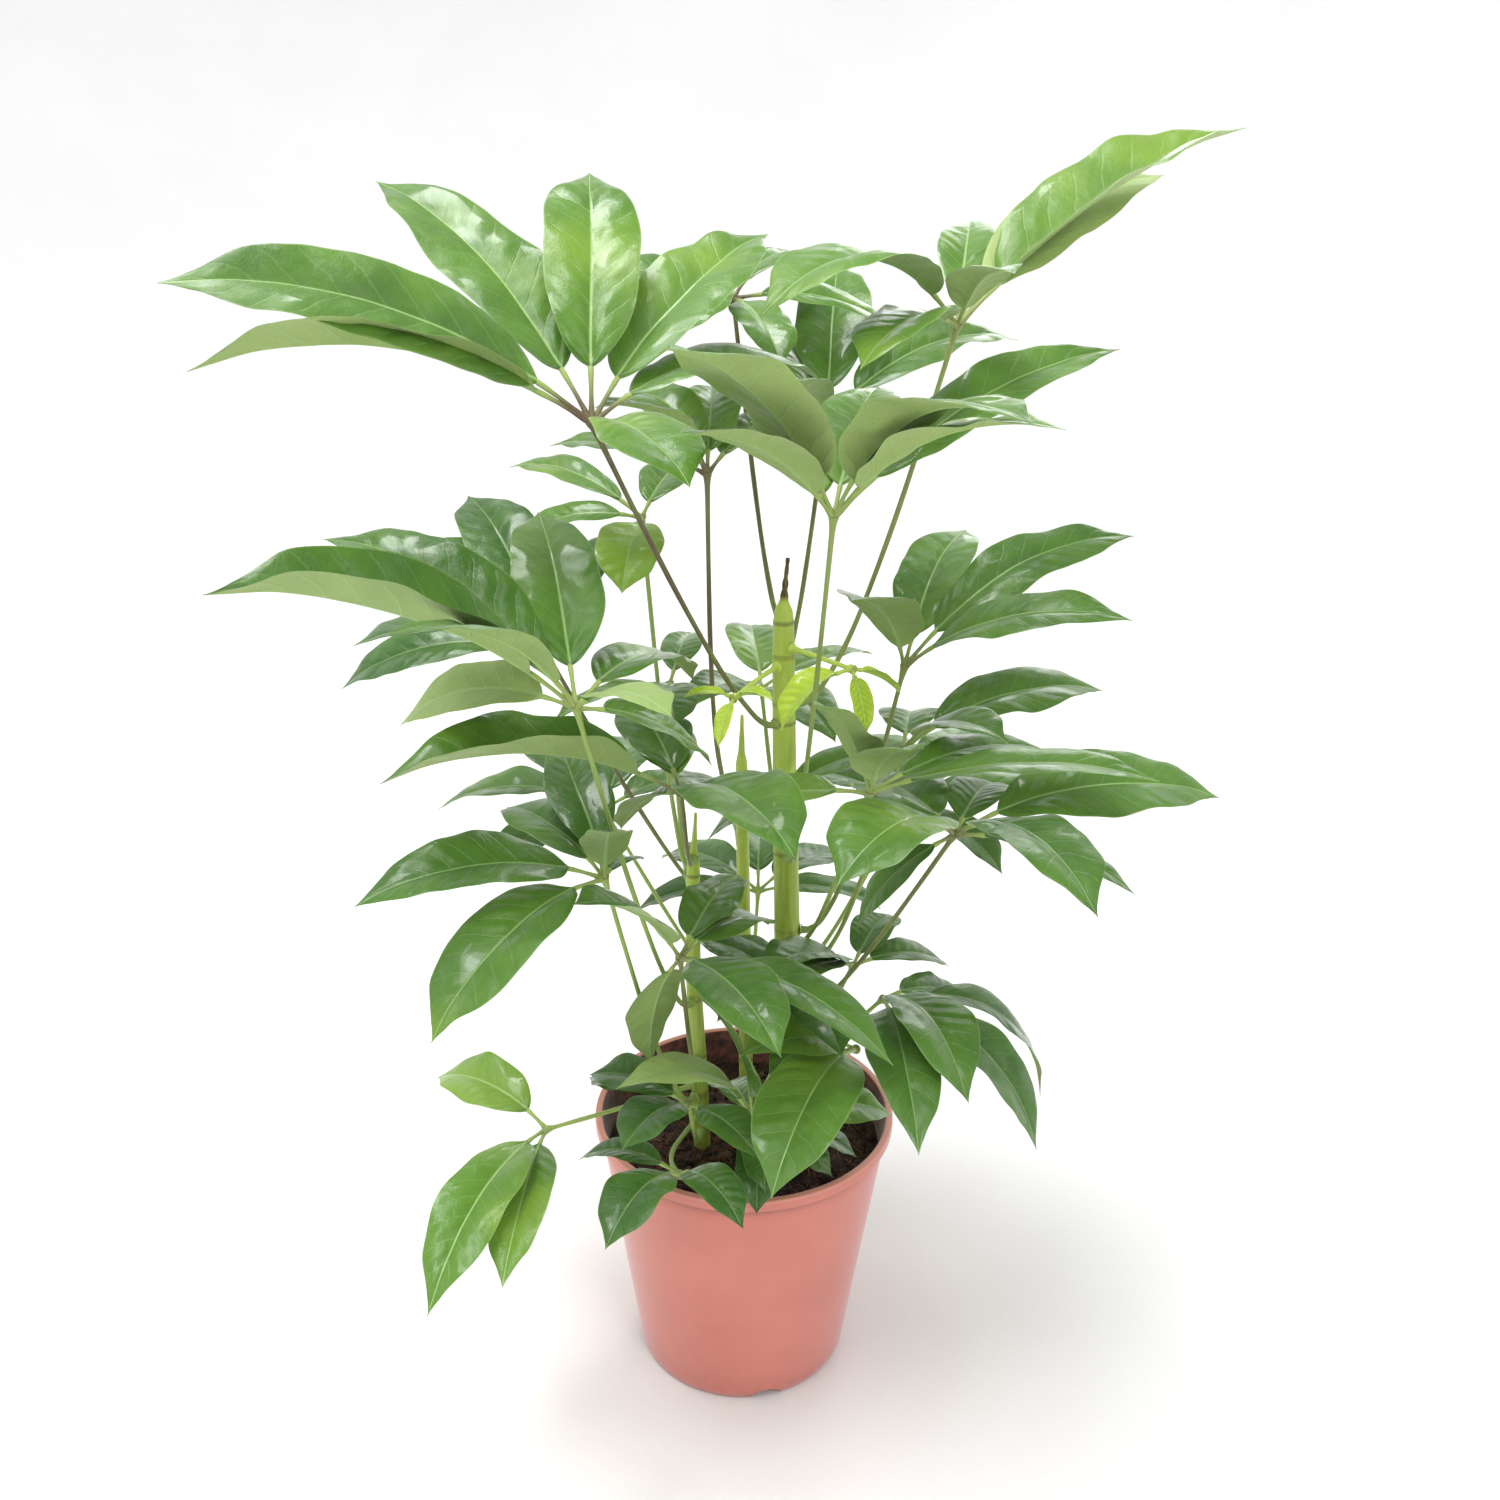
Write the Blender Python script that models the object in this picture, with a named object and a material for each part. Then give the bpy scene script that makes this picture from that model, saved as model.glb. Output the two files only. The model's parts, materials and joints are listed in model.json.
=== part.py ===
"""Potted umbrella plant (Schefflera) in a moulded plastic nursery pot.

Three stems grow out of the soil. Each leaf is one grown piece: a long petiole that ends in a hub, and the
leaflets that spread from the hub like the ribs of an umbrella. The origin is at the centre of the pot's
foot, on the surface that it stands on, with +Z up.
"""

import math

import bmesh
import bpy
import numpy as np
from mathutils.bvhtree import BVHTree

# Pot, in metres
POT_HEIGHT = 0.222
RIM_RADIUS = 0.120
LIP_WIDTH = 0.0055
LIP_DEPTH = 0.009
LIP_ROUND = 0.001
WALL_TOP_RADIUS = 0.1170
FOOT_RADIUS = 0.0855
FOOT_ROUND = 0.004
WALL = 0.0024
FLOOR_HEIGHT = 0.011
FLOOR_THICKNESS = 0.0026
POT_SIDES = 40
NOTCH_COUNT = 4
NOTCH_HEADING = -76
NOTCH_WIDTH = 0.026
NOTCH_HEIGHT = 0.0085
NOTCH_DEPTH = 0.016
DRAIN_HOLE_COUNT = 6
DRAIN_HOLE_RADIUS = 0.005
DRAIN_CIRCLE_RADIUS = 0.058
CENTRE_HOLE_RADIUS = 0.006

# Soil, in metres
SOIL_TOP = 0.194
SOIL_MOUND = 0.004
MOUND_RADIUS = 0.070
SOCKET_DEPTH = 0.040

# Clearance between two touching pieces
GAP = 0.0003

# Stems: route of the centre line from the socket in the soil to the bud, and the radius at each point
STEMS = {
    "main": (
        ((0.036, 0.002, SOIL_TOP - SOCKET_DEPTH), (0.034, 0.000, 0.30), (0.030, 0.000, 0.42),
         (0.026, 0.000, 0.54), (0.024, 0.000, 0.625), (0.024, 0.000, 0.648), (0.026, 0.000, 0.676)),
        (0.0110, 0.0105, 0.0095, 0.0085, 0.0075, 0.0045, 0.0012),
    ),
    "left": (
        ((-0.032, -0.015, SOIL_TOP - SOCKET_DEPTH), (-0.036, -0.020, 0.27), (-0.040, -0.022, 0.36),
         (-0.040, -0.020, 0.44), (-0.039, -0.020, 0.468), (-0.038, -0.020, 0.490)),
        (0.0068, 0.0064, 0.0058, 0.0050, 0.0036, 0.0010),
    ),
    "middle": (
        ((0.002, 0.030, SOIL_TOP - SOCKET_DEPTH), (0.000, 0.026, 0.30), (-0.003, 0.022, 0.42),
         (-0.005, 0.020, 0.51), (-0.005, 0.020, 0.535), (-0.005, 0.020, 0.552)),
        (0.0058, 0.0054, 0.0050, 0.0044, 0.0034, 0.0010),
    ),
}
STEM_SIDES = 12

# Petioles, in metres
PETIOLE_BASE_RADIUS = 0.0045
PETIOLE_RADIUS = 0.0023
HUB_RADIUS = 0.0042
PETIOLE_SIDES = 6
PETIOLE_COLLAR = 0.002
PETIOLE_OUTSET = 0.030

# Leaflets: shares of the length or of the half width
STALK_SHARE = 0.16
STALK_RADIUS = 0.0014
BLADE_THICKNESS = 0.0016
TIP_RADIUS = 0.0005
FOLD = 0.16
WIDEST_RISE = 0.60
TIP_FALL = 0.75
STATIONS = (0.006, 0.16, 0.22, 0.38, 0.60, 0.84, 1.0)

# How far apart leaves are kept, and the largest turn that keeps them apart, in metres and degrees
CLEARANCES = (0.0040, 0.0022, 0.0010)
TURN_STEP = 5
TURN_LIMIT = 35

# Each leaf: its stem, the height at which it leaves the stem, the hub (x, y, z), and its leaflets as
# heading (degrees from +X towards +Y), lift above level (degrees), length and width (millimetres), arch
# above the straight line to the tip (percent of the length) and roll about that line (degrees).
LEAVES = {
    "leaf_top_left": ("main", 0.555, (-0.095, -0.120, 0.785), (
        (200, 20, 245, 62, 10, -45), (205, 10, 225, 60, 12, -30), (140, 35, 235, 64, 8, -15),
        (95, 40, 200, 62, 12, 0), (55, 30, 210, 60, 8, 15), (40, 5, 175, 48, 14, 10),
        (305, 0, 110, 58, 12, 0))),
    "leaf_top_right": ("main", 0.570, (0.130, -0.030, 0.835), (
        (25, 30, 250, 66, 6, 35), (40, 35, 225, 62, 8, 15), (285, 25, 90, 42, 15, 0),
        (80, 25, 150, 38, 10, 0), (225, 5, 180, 64, 20, -10), (240, -5, 140, 50, 12, 0))),
    "leaf_top_centre": ("main", 0.450, (0.050, -0.120, 0.730), (
        (235, 35, 200, 66, 10, 0), (230, 25, 160, 50, 10, 0), (300, 30, 195, 66, 16, 0),
        (315, 25, 175, 52, 12, 0), (25, 25, 225, 50, 8, 20), (110, 15, 130, 46, 10, 0),
        (75, 20, 150, 50, 10, 0))),
    "leaf_top_back": ("main", 0.605, (0.055, 0.100, 0.755), (
        (85, 35, 190, 60, 5, 0), (110, 25, 170, 44, 10, 0), (250, 20, 150, 46, 10, 0),
        (35, 15, 200, 50, 12, 20), (295, 15, 120, 44, 10, 0))),
    "leaf_top_far": ("main", 0.630, (-0.015, 0.120, 0.840), (
        (60, 5, 120, 42, 15, 0), (290, -20, 110, 40, 10, 0), (20, -10, 130, 40, 10, 20),
        (250, -10, 120, 46, 12, 0), (105, 10, 130, 46, 10, 0), (180, 5, 130, 46, 10, -20))),
    "leaf_behind_bud": ("middle", 0.490, (-0.030, -0.010, 0.735), (
        (155, 5, 125, 42, 8, -10), (225, 30, 110, 44, 15, 0), (130, 25, 105, 46, 18, -20),
        (65, 5, 140, 44, 10, 0), (90, 20, 130, 44, 10, 0))),
    "leaf_far_left": ("left", 0.440, (-0.080, 0.060, 0.690), (
        (265, -20, 95, 48, 10, 0), (70, 15, 100, 38, 10, 0), (145, 10, 135, 32, 10, -10),
        (175, -10, 95, 30, 10, -20))),
    "leaf_left_front": ("left", 0.335, (-0.105, -0.160, 0.620), (
        (205, 25, 225, 56, 10, -30), (155, 25, 205, 58, 12, -20), (235, 25, 165, 44, 12, 0),
        (150, -15, 155, 48, 12, -25), (105, 30, 180, 58, 8, 0), (55, 0, 160, 46, 16, 10),
        (305, 15, 115, 36, 10, 0), (30, -30, 110, 46, 10, 10))),
    "leaf_left_back": ("middle", 0.380, (-0.150, 0.040, 0.590), (
        (225, 15, 165, 46, 10, 0), (120, 30, 185, 62, 10, -10), (145, 15, 205, 60, 12, -20),
        (65, 30, 140, 44, 12, 0), (180, -10, 160, 48, 14, -20))),
    "leaf_centre_left": ("left", 0.455, (-0.045, -0.090, 0.535), (
        (200, 10, 200, 52, 12, -20), (110, 10, 130, 50, 10, 0), (300, 5, 150, 70, 15, 0),
        (130, -35, 90, 36, 10, 0), (65, -30, 80, 36, 10, 0), (75, 0, 120, 48, 10, 0))),
    "leaf_centre_back": ("left", 0.425, (-0.060, 0.050, 0.565), (
        (235, 10, 95, 32, 10, 0), (300, -10, 95, 44, 10, 0), (115, -40, 100, 44, 10, 0),
        (80, 10, 90, 32, 10, 0))),
    "leaf_behind_stem": ("main", 0.440, (0.010, 0.130, 0.535), (
        (95, 10, 120, 50, 10, 0), (235, 10, 110, 46, 10, 0), (295, 0, 130, 46, 10, 0),
        (150, -30, 110, 44, 10, 0), (40, 5, 120, 42, 10, 0))),
    "leaf_right_upper": ("main", 0.385, (0.110, -0.010, 0.600), (
        (220, 40, 135, 52, 12, 0), (65, 30, 150, 56, 12, 0), (20, 25, 200, 48, 12, 25),
        (335, 20, 165, 46, 12, 20))),
    "leaf_right_middle": ("main", 0.355, (0.110, -0.030, 0.545), (
        (310, 20, 100, 44, 18, 0), (20, 10, 165, 50, 12, 20), (115, 15, 115, 48, 15, 0),
        (140, -10, 95, 40, 10, 0))),
    "leaf_mid_right": ("main", 0.380, (0.080, -0.110, 0.545), (
        (235, 50, 110, 40, 10, 0), (285, 45, 90, 44, 10, 0), (345, 10, 185, 44, 8, 5),
        (30, 0, 160, 36, 10, 10), (150, 0, 130, 46, 12, -10))),
    "leaf_right_front": ("main", 0.322, (0.135, -0.130, 0.525), (
        (10, 5, 185, 58, 12, 25), (295, 5, 150, 56, 18, 0), (240, 5, 130, 66, 20, 0),
        (110, -5, 120, 56, 12, 0), (70, 0, 100, 40, 10, 0), (190, -45, 90, 36, 10, 0),
        (340, -10, 120, 36, 10, 0))),
    "leaf_low_left": ("left", 0.248, (-0.095, -0.120, 0.485), (
        (205, 5, 165, 54, 12, -20), (240, -10, 160, 62, 15, 0), (130, 5, 125, 50, 10, 0),
        (100, 10, 140, 44, 10, 0), (280, 45, 90, 34, 10, 0), (60, -25, 75, 30, 10, 0))),
    "leaf_low_front": ("left", 0.284, (-0.045, -0.120, 0.425), (
        (230, 40, 125, 52, 10, 0), (130, -35, 110, 42, 10, 0), (105, 5, 120, 40, 10, 0),
        (300, 0, 135, 54, 12, 0), (330, -10, 165, 44, 12, 0), (50, -10, 110, 54, 15, 0))),
    "leaf_low_centre": ("main", 0.260, (0.040, -0.060, 0.355), (
        (285, 10, 100, 46, 12, 0), (235, 15, 110, 50, 12, 0), (105, 5, 110, 46, 12, 0),
        (265, -15, 110, 48, 12, 0), (170, 0, 90, 42, 12, 0))),
    "leaf_low_right": ("main", 0.305, (0.080, -0.040, 0.375), (
        (30, -15, 95, 36, 12, 0), (75, -5, 80, 36, 10, 0), (230, 35, 100, 52, 12, 0),
        (245, 5, 100, 44, 10, 0))),
    "leaf_rim_right": ("main", 0.285, (0.100, -0.070, 0.365), (
        (275, -10, 150, 50, 15, 0), (290, 0, 135, 54, 20, 0), (325, -30, 150, 46, 20, 0),
        (5, -35, 155, 40, 25, 0), (30, -20, 90, 36, 15, 0))),
    "leaf_gloss_front": ("main", 0.275, (0.080, -0.090, 0.335), (
        (245, -10, 150, 66, 18, 0), (130, -10, 90, 44, 10, 0), (205, 0, 100, 46, 12, 0))),
    "leaf_pale_front": ("main", 0.242, (0.005, -0.090, 0.275), (
        (210, 30, 125, 42, 20, 0), (200, 60, 120, 50, 10, 0), (25, 5, 110, 52, 12, 0),
        (315, 35, 70, 30, 10, 0), (120, 0, 80, 40, 12, 0))),
    "leaf_soil_left": ("left", 0.215, (-0.040, -0.110, 0.300), (
        (235, 5, 75, 46, 15, 0), (120, 0, 90, 42, 10, 0), (310, 0, 80, 32, 10, 0),
        (160, 10, 80, 40, 12, 0))),
    "leaf_soil_centre": ("middle", 0.225, (0.010, -0.060, 0.250), (
        (285, 0, 70, 34, 15, 0), (250, 5, 75, 34, 15, 0), (0, 10, 80, 36, 12, 0), (330, 5, 70, 32, 12, 0))),
    "leaf_rim_front": ("left", 0.232, (-0.045, -0.150, 0.270), (
        (155, -10, 85, 28, 15, 0), (240, 0, 90, 42, 20, 0), (305, 5, 80, 36, 20, 0))),
    "leaf_hanging_left": ("left", 0.252, (-0.145, -0.100, 0.270), (
        (145, 0, 115, 44, 15, -15), (250, -10, 170, 48, 15, 0), (265, 0, 140, 42, 10, 0))),
    "leaf_back_left": ("middle", 0.300, (-0.120, 0.120, 0.430), (
        (130, 10, 150, 54, 12, 0), (180, 0, 140, 52, 15, 0), (80, 5, 140, 50, 12, 0),
        (225, -10, 120, 46, 12, 0), (30, 0, 120, 46, 12, 0))),
    "leaf_back_right": ("main", 0.340, (0.130, 0.110, 0.440), (
        (50, 10, 150, 54, 12, 0), (0, 0, 140, 50, 15, 0), (100, 5, 140, 50, 12, 0),
        (310, -10, 110, 44, 12, 0), (150, 0, 120, 44, 12, 0))),
    "leaf_back_low": ("middle", 0.250, (0.010, 0.150, 0.340), (
        (90, 5, 130, 52, 14, 0), (45, 0, 130, 48, 14, 0), (135, 0, 130, 48, 14, 0),
        (180, -5, 110, 42, 12, 0), (0, -5, 110, 42, 12, 0))),
}

# Young growth near the top of the main stem, in the same form
YOUNG_LEAVES = {
    "young_leaf_right": ("main", 0.612, (0.070, -0.045, 0.610), (
        (215, -35, 65, 26, 14, 0), (285, -45, 50, 16, 10, 0), (20, -30, 45, 14, 10, 0))),
    "young_leaf_left": ("main", 0.598, (-0.010, -0.050, 0.590), (
        (250, -40, 40, 12, 10, 0), (170, 10, 35, 12, 10, 0), (320, 10, 35, 12, 10, 0))),
}

# Colours (red, green, blue, from 0 to 1, linear) and roughness
POT_LOOK = ((0.61, 0.22, 0.16), 0.5)
SOIL_LOOK = ((0.035, 0.022, 0.016), 0.95)
STEM_LOOK = ((0.30, 0.42, 0.09), 0.5)
LEAF_LOOK = ((0.06, 0.21, 0.04), 0.3)
YOUNG_LOOK = ((0.40, 0.60, 0.05), 0.4)


def clear_scene():
    for obj in list(bpy.data.objects):
        bpy.data.objects.remove(obj, do_unlink=True)


def new_material(name, look):
    colour, roughness = look
    material = bpy.data.materials.new(name)
    material.use_nodes = True
    shader = material.node_tree.nodes["Principled BSDF"]
    shader.inputs["Base Color"].default_value = (*colour, 1)
    shader.inputs["Roughness"].default_value = roughness
    shader.inputs["Metallic"].default_value = 0
    return material


def new_object(name, shells, material):
    """One object from closed shells, each an array of points and a list of faces."""
    points, faces = joined(shells)
    mesh = bpy.data.meshes.new(name)
    mesh.from_pydata(points.tolist(), [], faces)
    build = bmesh.new()
    build.from_mesh(mesh)
    bmesh.ops.recalc_face_normals(build, faces=build.faces)
    build.to_mesh(mesh)
    build.free()
    mesh.materials.append(material)
    mesh.shade_smooth()
    mesh.set_sharp_from_angle(angle=math.radians(40))
    obj = bpy.data.objects.new(name, mesh)
    bpy.context.scene.collection.objects.link(obj)
    return obj


def add_boolean(obj, operation, other):
    """Joins or cuts with a helper object, which then stays out of the render."""
    other.hide_render = True
    other.display_type = "WIRE"
    modifier = obj.modifiers.new(operation.title(), "BOOLEAN")
    modifier.operation = operation
    modifier.solver = "EXACT"
    modifier.use_self = True
    modifier.object = other


def joined(shells):
    points = np.concatenate([shell[0] for shell in shells])
    faces, start = [], 0
    for shell_points, shell_faces in shells:
        faces += [tuple(start + corner for corner in face) for face in shell_faces]
        start += len(shell_points)
    return points, faces


def lofted(rings):
    """A closed shell over rings of equally many points each; its ends are closed with flat faces."""
    count, sides = len(rings), len(rings[0])
    faces = [
        (i * sides + j, i * sides + (j + 1) % sides, (i + 1) * sides + (j + 1) % sides, (i + 1) * sides + j)
        for i in range(count - 1)
        for j in range(sides)
    ]
    faces.append(tuple(reversed(range(sides))))
    faces.append(tuple(range((count - 1) * sides, count * sides)))
    return np.concatenate(rings), faces


def turned(profile, sides):
    """Carries a closed (radius, height) outline once round the Z axis; points on the axis become one."""
    angles = np.arange(sides) * 2 * math.pi / sides
    points, index = [], []
    for radius, height in profile:
        if radius == 0:
            index.append([len(points)] * sides)
            points.append((0, 0, height))
        else:
            index.append(list(range(len(points), len(points) + sides)))
            points += [(radius * math.cos(a), radius * math.sin(a), height) for a in angles]
    faces = []
    for i in range(len(profile)):
        low, high = index[i - 1], index[i]
        for j in range(sides):
            corners = (low[j], low[(j + 1) % sides], high[(j + 1) % sides], high[j])
            face = tuple(dict.fromkeys(corners))
            if len(face) > 2:
                faces.append(face)
    return np.array(points, float), faces


def unit(vectors):
    return vectors / np.linalg.norm(vectors, axis=-1, keepdims=True)


def smooth_route(route, values, steps):
    """A Catmull-Rom curve through the route's points, with the values carried along it."""
    knots = np.column_stack([np.array(route, float), np.array(values, float)])
    ends = np.vstack([2 * knots[0] - knots[1], knots, 2 * knots[-1] - knots[-2]])
    samples = []
    for i in range(len(knots) - 1):
        a, b, c, d = ends[i : i + 4]
        t = np.arange(steps)[:, None] / steps
        curve = 2 * b + (c - a) * t + (2 * a - 5 * b + 4 * c - d) * t**2 + (3 * b - a - 3 * c + d) * t**3
        samples.append(curve / 2)
    samples.append(knots[-1:])
    samples = np.vstack(samples)
    return samples[:, :3], samples[:, 3]


def tube(path, radii, sides):
    """A round shell along a path, each ring square to the path."""
    tangents = unit(np.gradient(path, axis=0))
    across = unit(np.cross(tangents[0], (0.31, 0.17, 0.93) if abs(tangents[0][2]) < 0.9 else (1, 0.2, 0)))
    rings = []
    for centre, tangent, radius in zip(path, tangents, radii):
        across = unit(across - tangent * (across @ tangent))
        other = np.cross(tangent, across)
        angles = np.arange(sides)[:, None] * 2 * math.pi / sides
        rings.append(centre + radius * (np.cos(angles) * across + np.sin(angles) * other))
    return lofted(rings)


def pot_profile():
    """The wall, lip, raised floor and foot ring as one outline, from the centre hole outwards."""
    floor_top = FLOOR_HEIGHT + FLOOR_THICKNESS
    lean = (WALL_TOP_RADIUS - FOOT_RADIUS) / POT_HEIGHT
    lip_bottom = POT_HEIGHT - LIP_DEPTH
    return (
        (CENTRE_HOLE_RADIUS, floor_top),
        (CENTRE_HOLE_RADIUS, FLOOR_HEIGHT),
        (FOOT_RADIUS - FOOT_ROUND - WALL, FLOOR_HEIGHT),
        (FOOT_RADIUS - FOOT_ROUND - WALL, 0),
        (FOOT_RADIUS - FOOT_ROUND, 0),
        (FOOT_RADIUS - 0.3 * FOOT_ROUND, 0.3 * FOOT_ROUND),
        (FOOT_RADIUS, FOOT_ROUND),
        (FOOT_RADIUS + lean * (lip_bottom - LIP_ROUND), lip_bottom - LIP_ROUND),
        (RIM_RADIUS - LIP_ROUND, lip_bottom),
        (RIM_RADIUS, lip_bottom + LIP_ROUND),
        (RIM_RADIUS, POT_HEIGHT - LIP_ROUND),
        (RIM_RADIUS - LIP_ROUND, POT_HEIGHT),
        (RIM_RADIUS - LIP_WIDTH, POT_HEIGHT),
        (soil_radius(POT_HEIGHT - LIP_ROUND) + GAP, POT_HEIGHT - LIP_ROUND),
        (soil_radius(floor_top) + GAP, floor_top),
    )


def soil_radius(height):
    """Inner radius of the pot at a height, less the clearance."""
    share = height / POT_HEIGHT
    return FOOT_RADIUS + (WALL_TOP_RADIUS - FOOT_RADIUS) * share - WALL - 2 * GAP


def make_pot():
    pot = new_object("pot", [turned(pot_profile(), POT_SIDES)], new_material("pot_plastic", POT_LOOK))
    cutters = bmesh.new()
    for i in range(NOTCH_COUNT):
        add_notch(cutters, math.radians(NOTCH_HEADING) + 2 * math.pi * i / NOTCH_COUNT)
    for i in range(DRAIN_HOLE_COUNT):
        add_drain_hole(cutters, 2 * math.pi * i / DRAIN_HOLE_COUNT)
    mesh = bpy.data.meshes.new("pot_cutter")
    cutters.to_mesh(mesh)
    cutters.free()
    cutter = bpy.data.objects.new("pot_cutter", mesh)
    bpy.context.scene.collection.objects.link(cutter)
    add_boolean(pot, "DIFFERENCE", cutter)


def add_notch(cutters, angle):
    """An arched opening through the foot ring, lying along a spoke of the foot."""
    arch = bmesh.ops.create_cone(
        cutters, cap_ends=True, segments=16, radius1=NOTCH_WIDTH / 2, radius2=NOTCH_WIDTH / 2,
        depth=NOTCH_DEPTH,
    )["verts"]
    for vertex in arch:
        along, across, out = vertex.co.z, vertex.co.y, vertex.co.x
        spoke = FOOT_RADIUS - FOOT_ROUND - WALL / 2 + along
        rise = out * NOTCH_HEIGHT / (NOTCH_WIDTH / 2)
        vertex.co = (
            spoke * math.cos(angle) - across * math.sin(angle),
            spoke * math.sin(angle) + across * math.cos(angle),
            rise,
        )
    bmesh.ops.recalc_face_normals(cutters, faces=cutters.faces)


def add_drain_hole(cutters, angle):
    hole = bmesh.ops.create_cone(
        cutters, cap_ends=True, segments=8, radius1=DRAIN_HOLE_RADIUS, radius2=DRAIN_HOLE_RADIUS,
        depth=4 * FLOOR_THICKNESS,
    )["verts"]
    place = (
        DRAIN_CIRCLE_RADIUS * math.cos(angle),
        DRAIN_CIRCLE_RADIUS * math.sin(angle),
        FLOOR_HEIGHT + FLOOR_THICKNESS / 2,
    )
    bmesh.ops.translate(cutters, verts=hole, vec=place)


def soil_profile():
    """The root ball's outline: it fills the pot from the floor and rises to a low mound."""
    bottom = FLOOR_HEIGHT + FLOOR_THICKNESS + GAP
    return (
        (0, bottom), (soil_radius(bottom), bottom), (soil_radius(SOIL_TOP), SOIL_TOP),
        (MOUND_RADIUS, SOIL_TOP + SOIL_MOUND / 2), (0, SOIL_TOP + SOIL_MOUND),
    )


def make_soil():
    soil = new_object("soil", [turned(soil_profile(), POT_SIDES)], new_material("soil", SOIL_LOOK))
    sockets = [tube(*stem_line(name, radius_extra=GAP, drop=GAP), STEM_SIDES) for name in STEMS]
    add_boolean(soil, "DIFFERENCE", new_object("soil_sockets", sockets, soil.data.materials[0]))


def stem_line(name, radius_extra=0.0, drop=0.0):
    path, radii = smooth_route(*STEMS[name], 2)
    path[0, 2] -= drop
    return path, radii + radius_extra


def make_stem(name, material):
    new_object(f"{name}_stem", [tube(*stem_line(name), STEM_SIDES)], material)


def stem_at(name, height):
    """Centre and radius of a stem at a height."""
    path, radii = stem_line(name)
    centre = np.array([np.interp(height, path[:, 2], path[:, axis]) for axis in range(3)])
    return centre, float(np.interp(height, path[:, 2], radii))


def petiole_line(leaf, side_bend, height_shift):
    """A cubic Bezier curve from the stem's surface to the hub: it starts square to the stem, then rises."""
    stem, height, hub = leaf[0], leaf[1] + height_shift, np.array(leaf[2])
    centre, radius = stem_at(stem, height)
    out = hub - centre
    out[2] = 0
    out = unit(out)
    aside = np.array((-out[1], out[0], 0))
    base = centre + out * (radius + 2 * GAP)
    start = base + out * PETIOLE_COLLAR
    reach = np.linalg.norm(hub - start)
    first = start + out * min(PETIOLE_OUTSET, 0.3 * reach)
    second = start + (hub - start) * 0.62 + out * 0.04 * reach + aside * side_bend
    t = np.array((0, 0.06, 0.18, 0.38, 0.6, 0.8, 0.94))[:, None]
    path = start * (1 - t) ** 3 + 3 * first * t * (1 - t) ** 2 + 3 * second * t**2 * (1 - t) + hub * t**3
    tangent = unit(hub - path[-1])
    return np.vstack([base, path, hub - tangent * 0.6 * HUB_RADIUS, hub, hub + tangent * 0.7 * HUB_RADIUS])


def petiole_radii(extra=0.0):
    slim = [PETIOLE_RADIUS * share for share in (1.3, 1.1, 1, 1, 0.95, 0.95)]
    hub = [HUB_RADIUS * share for share in (0.8, 1, 0.7)]
    return np.array([PETIOLE_BASE_RADIUS, PETIOLE_BASE_RADIUS * 0.9, *slim, *hub]) + extra


def leaflet_frames(hub, leaflet, stations):
    """Midrib points, side and face directions, and half widths at shares of the length.

    The midrib is the straight line to the tip plus a parabola, 4 arch s (1 - s), across it. The half width
    is t^a (1 - t)^b, scaled to reach half the width, where t runs from the end of the stalk to the tip.
    The roll turns the blade about the straight line, right-handed, so 90 stands it on its edge.
    """
    heading, lift, roll = (math.radians(leaflet[k]) for k in (0, 1, 5))
    length, width, arch = leaflet[2] / 1000, leaflet[3] / 1000, leaflet[4] / 100
    s = np.array(stations)[:, None]
    level = np.array((math.cos(heading), math.sin(heading), 0))
    upright = np.array((0, 0, 1))
    chord = math.cos(lift) * level + math.sin(lift) * upright
    above = math.cos(lift) * upright - math.sin(lift) * level
    midrib = hub + length * (s * chord + 4 * arch * s * (1 - s) * above)
    tangent = unit(chord + 4 * arch * (1 - 2 * s) * above)
    side = math.cos(roll) * np.cross(chord, above) - math.sin(roll) * above
    side = unit(side - tangent * (tangent @ side)[:, None])
    face = np.cross(side, tangent)
    t = np.clip((s[:, 0] - STALK_SHARE) / (1 - STALK_SHARE), 0, 1)
    peak = WIDEST_RISE / (WIDEST_RISE + TIP_FALL)
    top = peak**WIDEST_RISE * (1 - peak) ** TIP_FALL
    half = width / 2 * t**WIDEST_RISE * (1 - t) ** TIP_FALL / top
    return midrib, side, face, half


def leaflet_shell(hub, leaflet):
    """A thin closed blade on a round stalk: four points at each station, at the edges and on both faces."""
    midrib, side, face, half = leaflet_frames(hub, leaflet, STATIONS)
    rings = []
    for i, middle in enumerate(midrib):
        at_tip = i == len(midrib) - 1
        wide = max(half[i], TIP_RADIUS if at_tip else STALK_RADIUS)
        thick = TIP_RADIUS if at_tip else max(STALK_RADIUS * (half[i] < STALK_RADIUS), BLADE_THICKNESS / 2)
        edge = middle + face[i] * FOLD * half[i]
        rings.append(np.array((
            edge + side[i] * wide, middle + face[i] * thick, edge - side[i] * wide, middle - face[i] * thick,
        )))
    return lofted(rings)


def leaflet_guard(hub, leaflet, clearance, stations):
    """The blade thickened all round by the clearance, to test what it would touch."""
    midrib, side, face, half = leaflet_frames(hub, leaflet, stations)
    rings = []
    for i, middle in enumerate(midrib):
        wide = side[i] * (max(half[i], STALK_RADIUS) + clearance)
        thick = face[i] * (BLADE_THICKNESS / 2 + clearance)
        edge = middle + face[i] * FOLD * half[i]
        rings.append(np.array((
            edge + wide + thick, middle + thick, edge - wide + thick,
            edge - wide - thick, middle - thick, edge + wide - thick,
        )))
    return lofted(rings)


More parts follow.
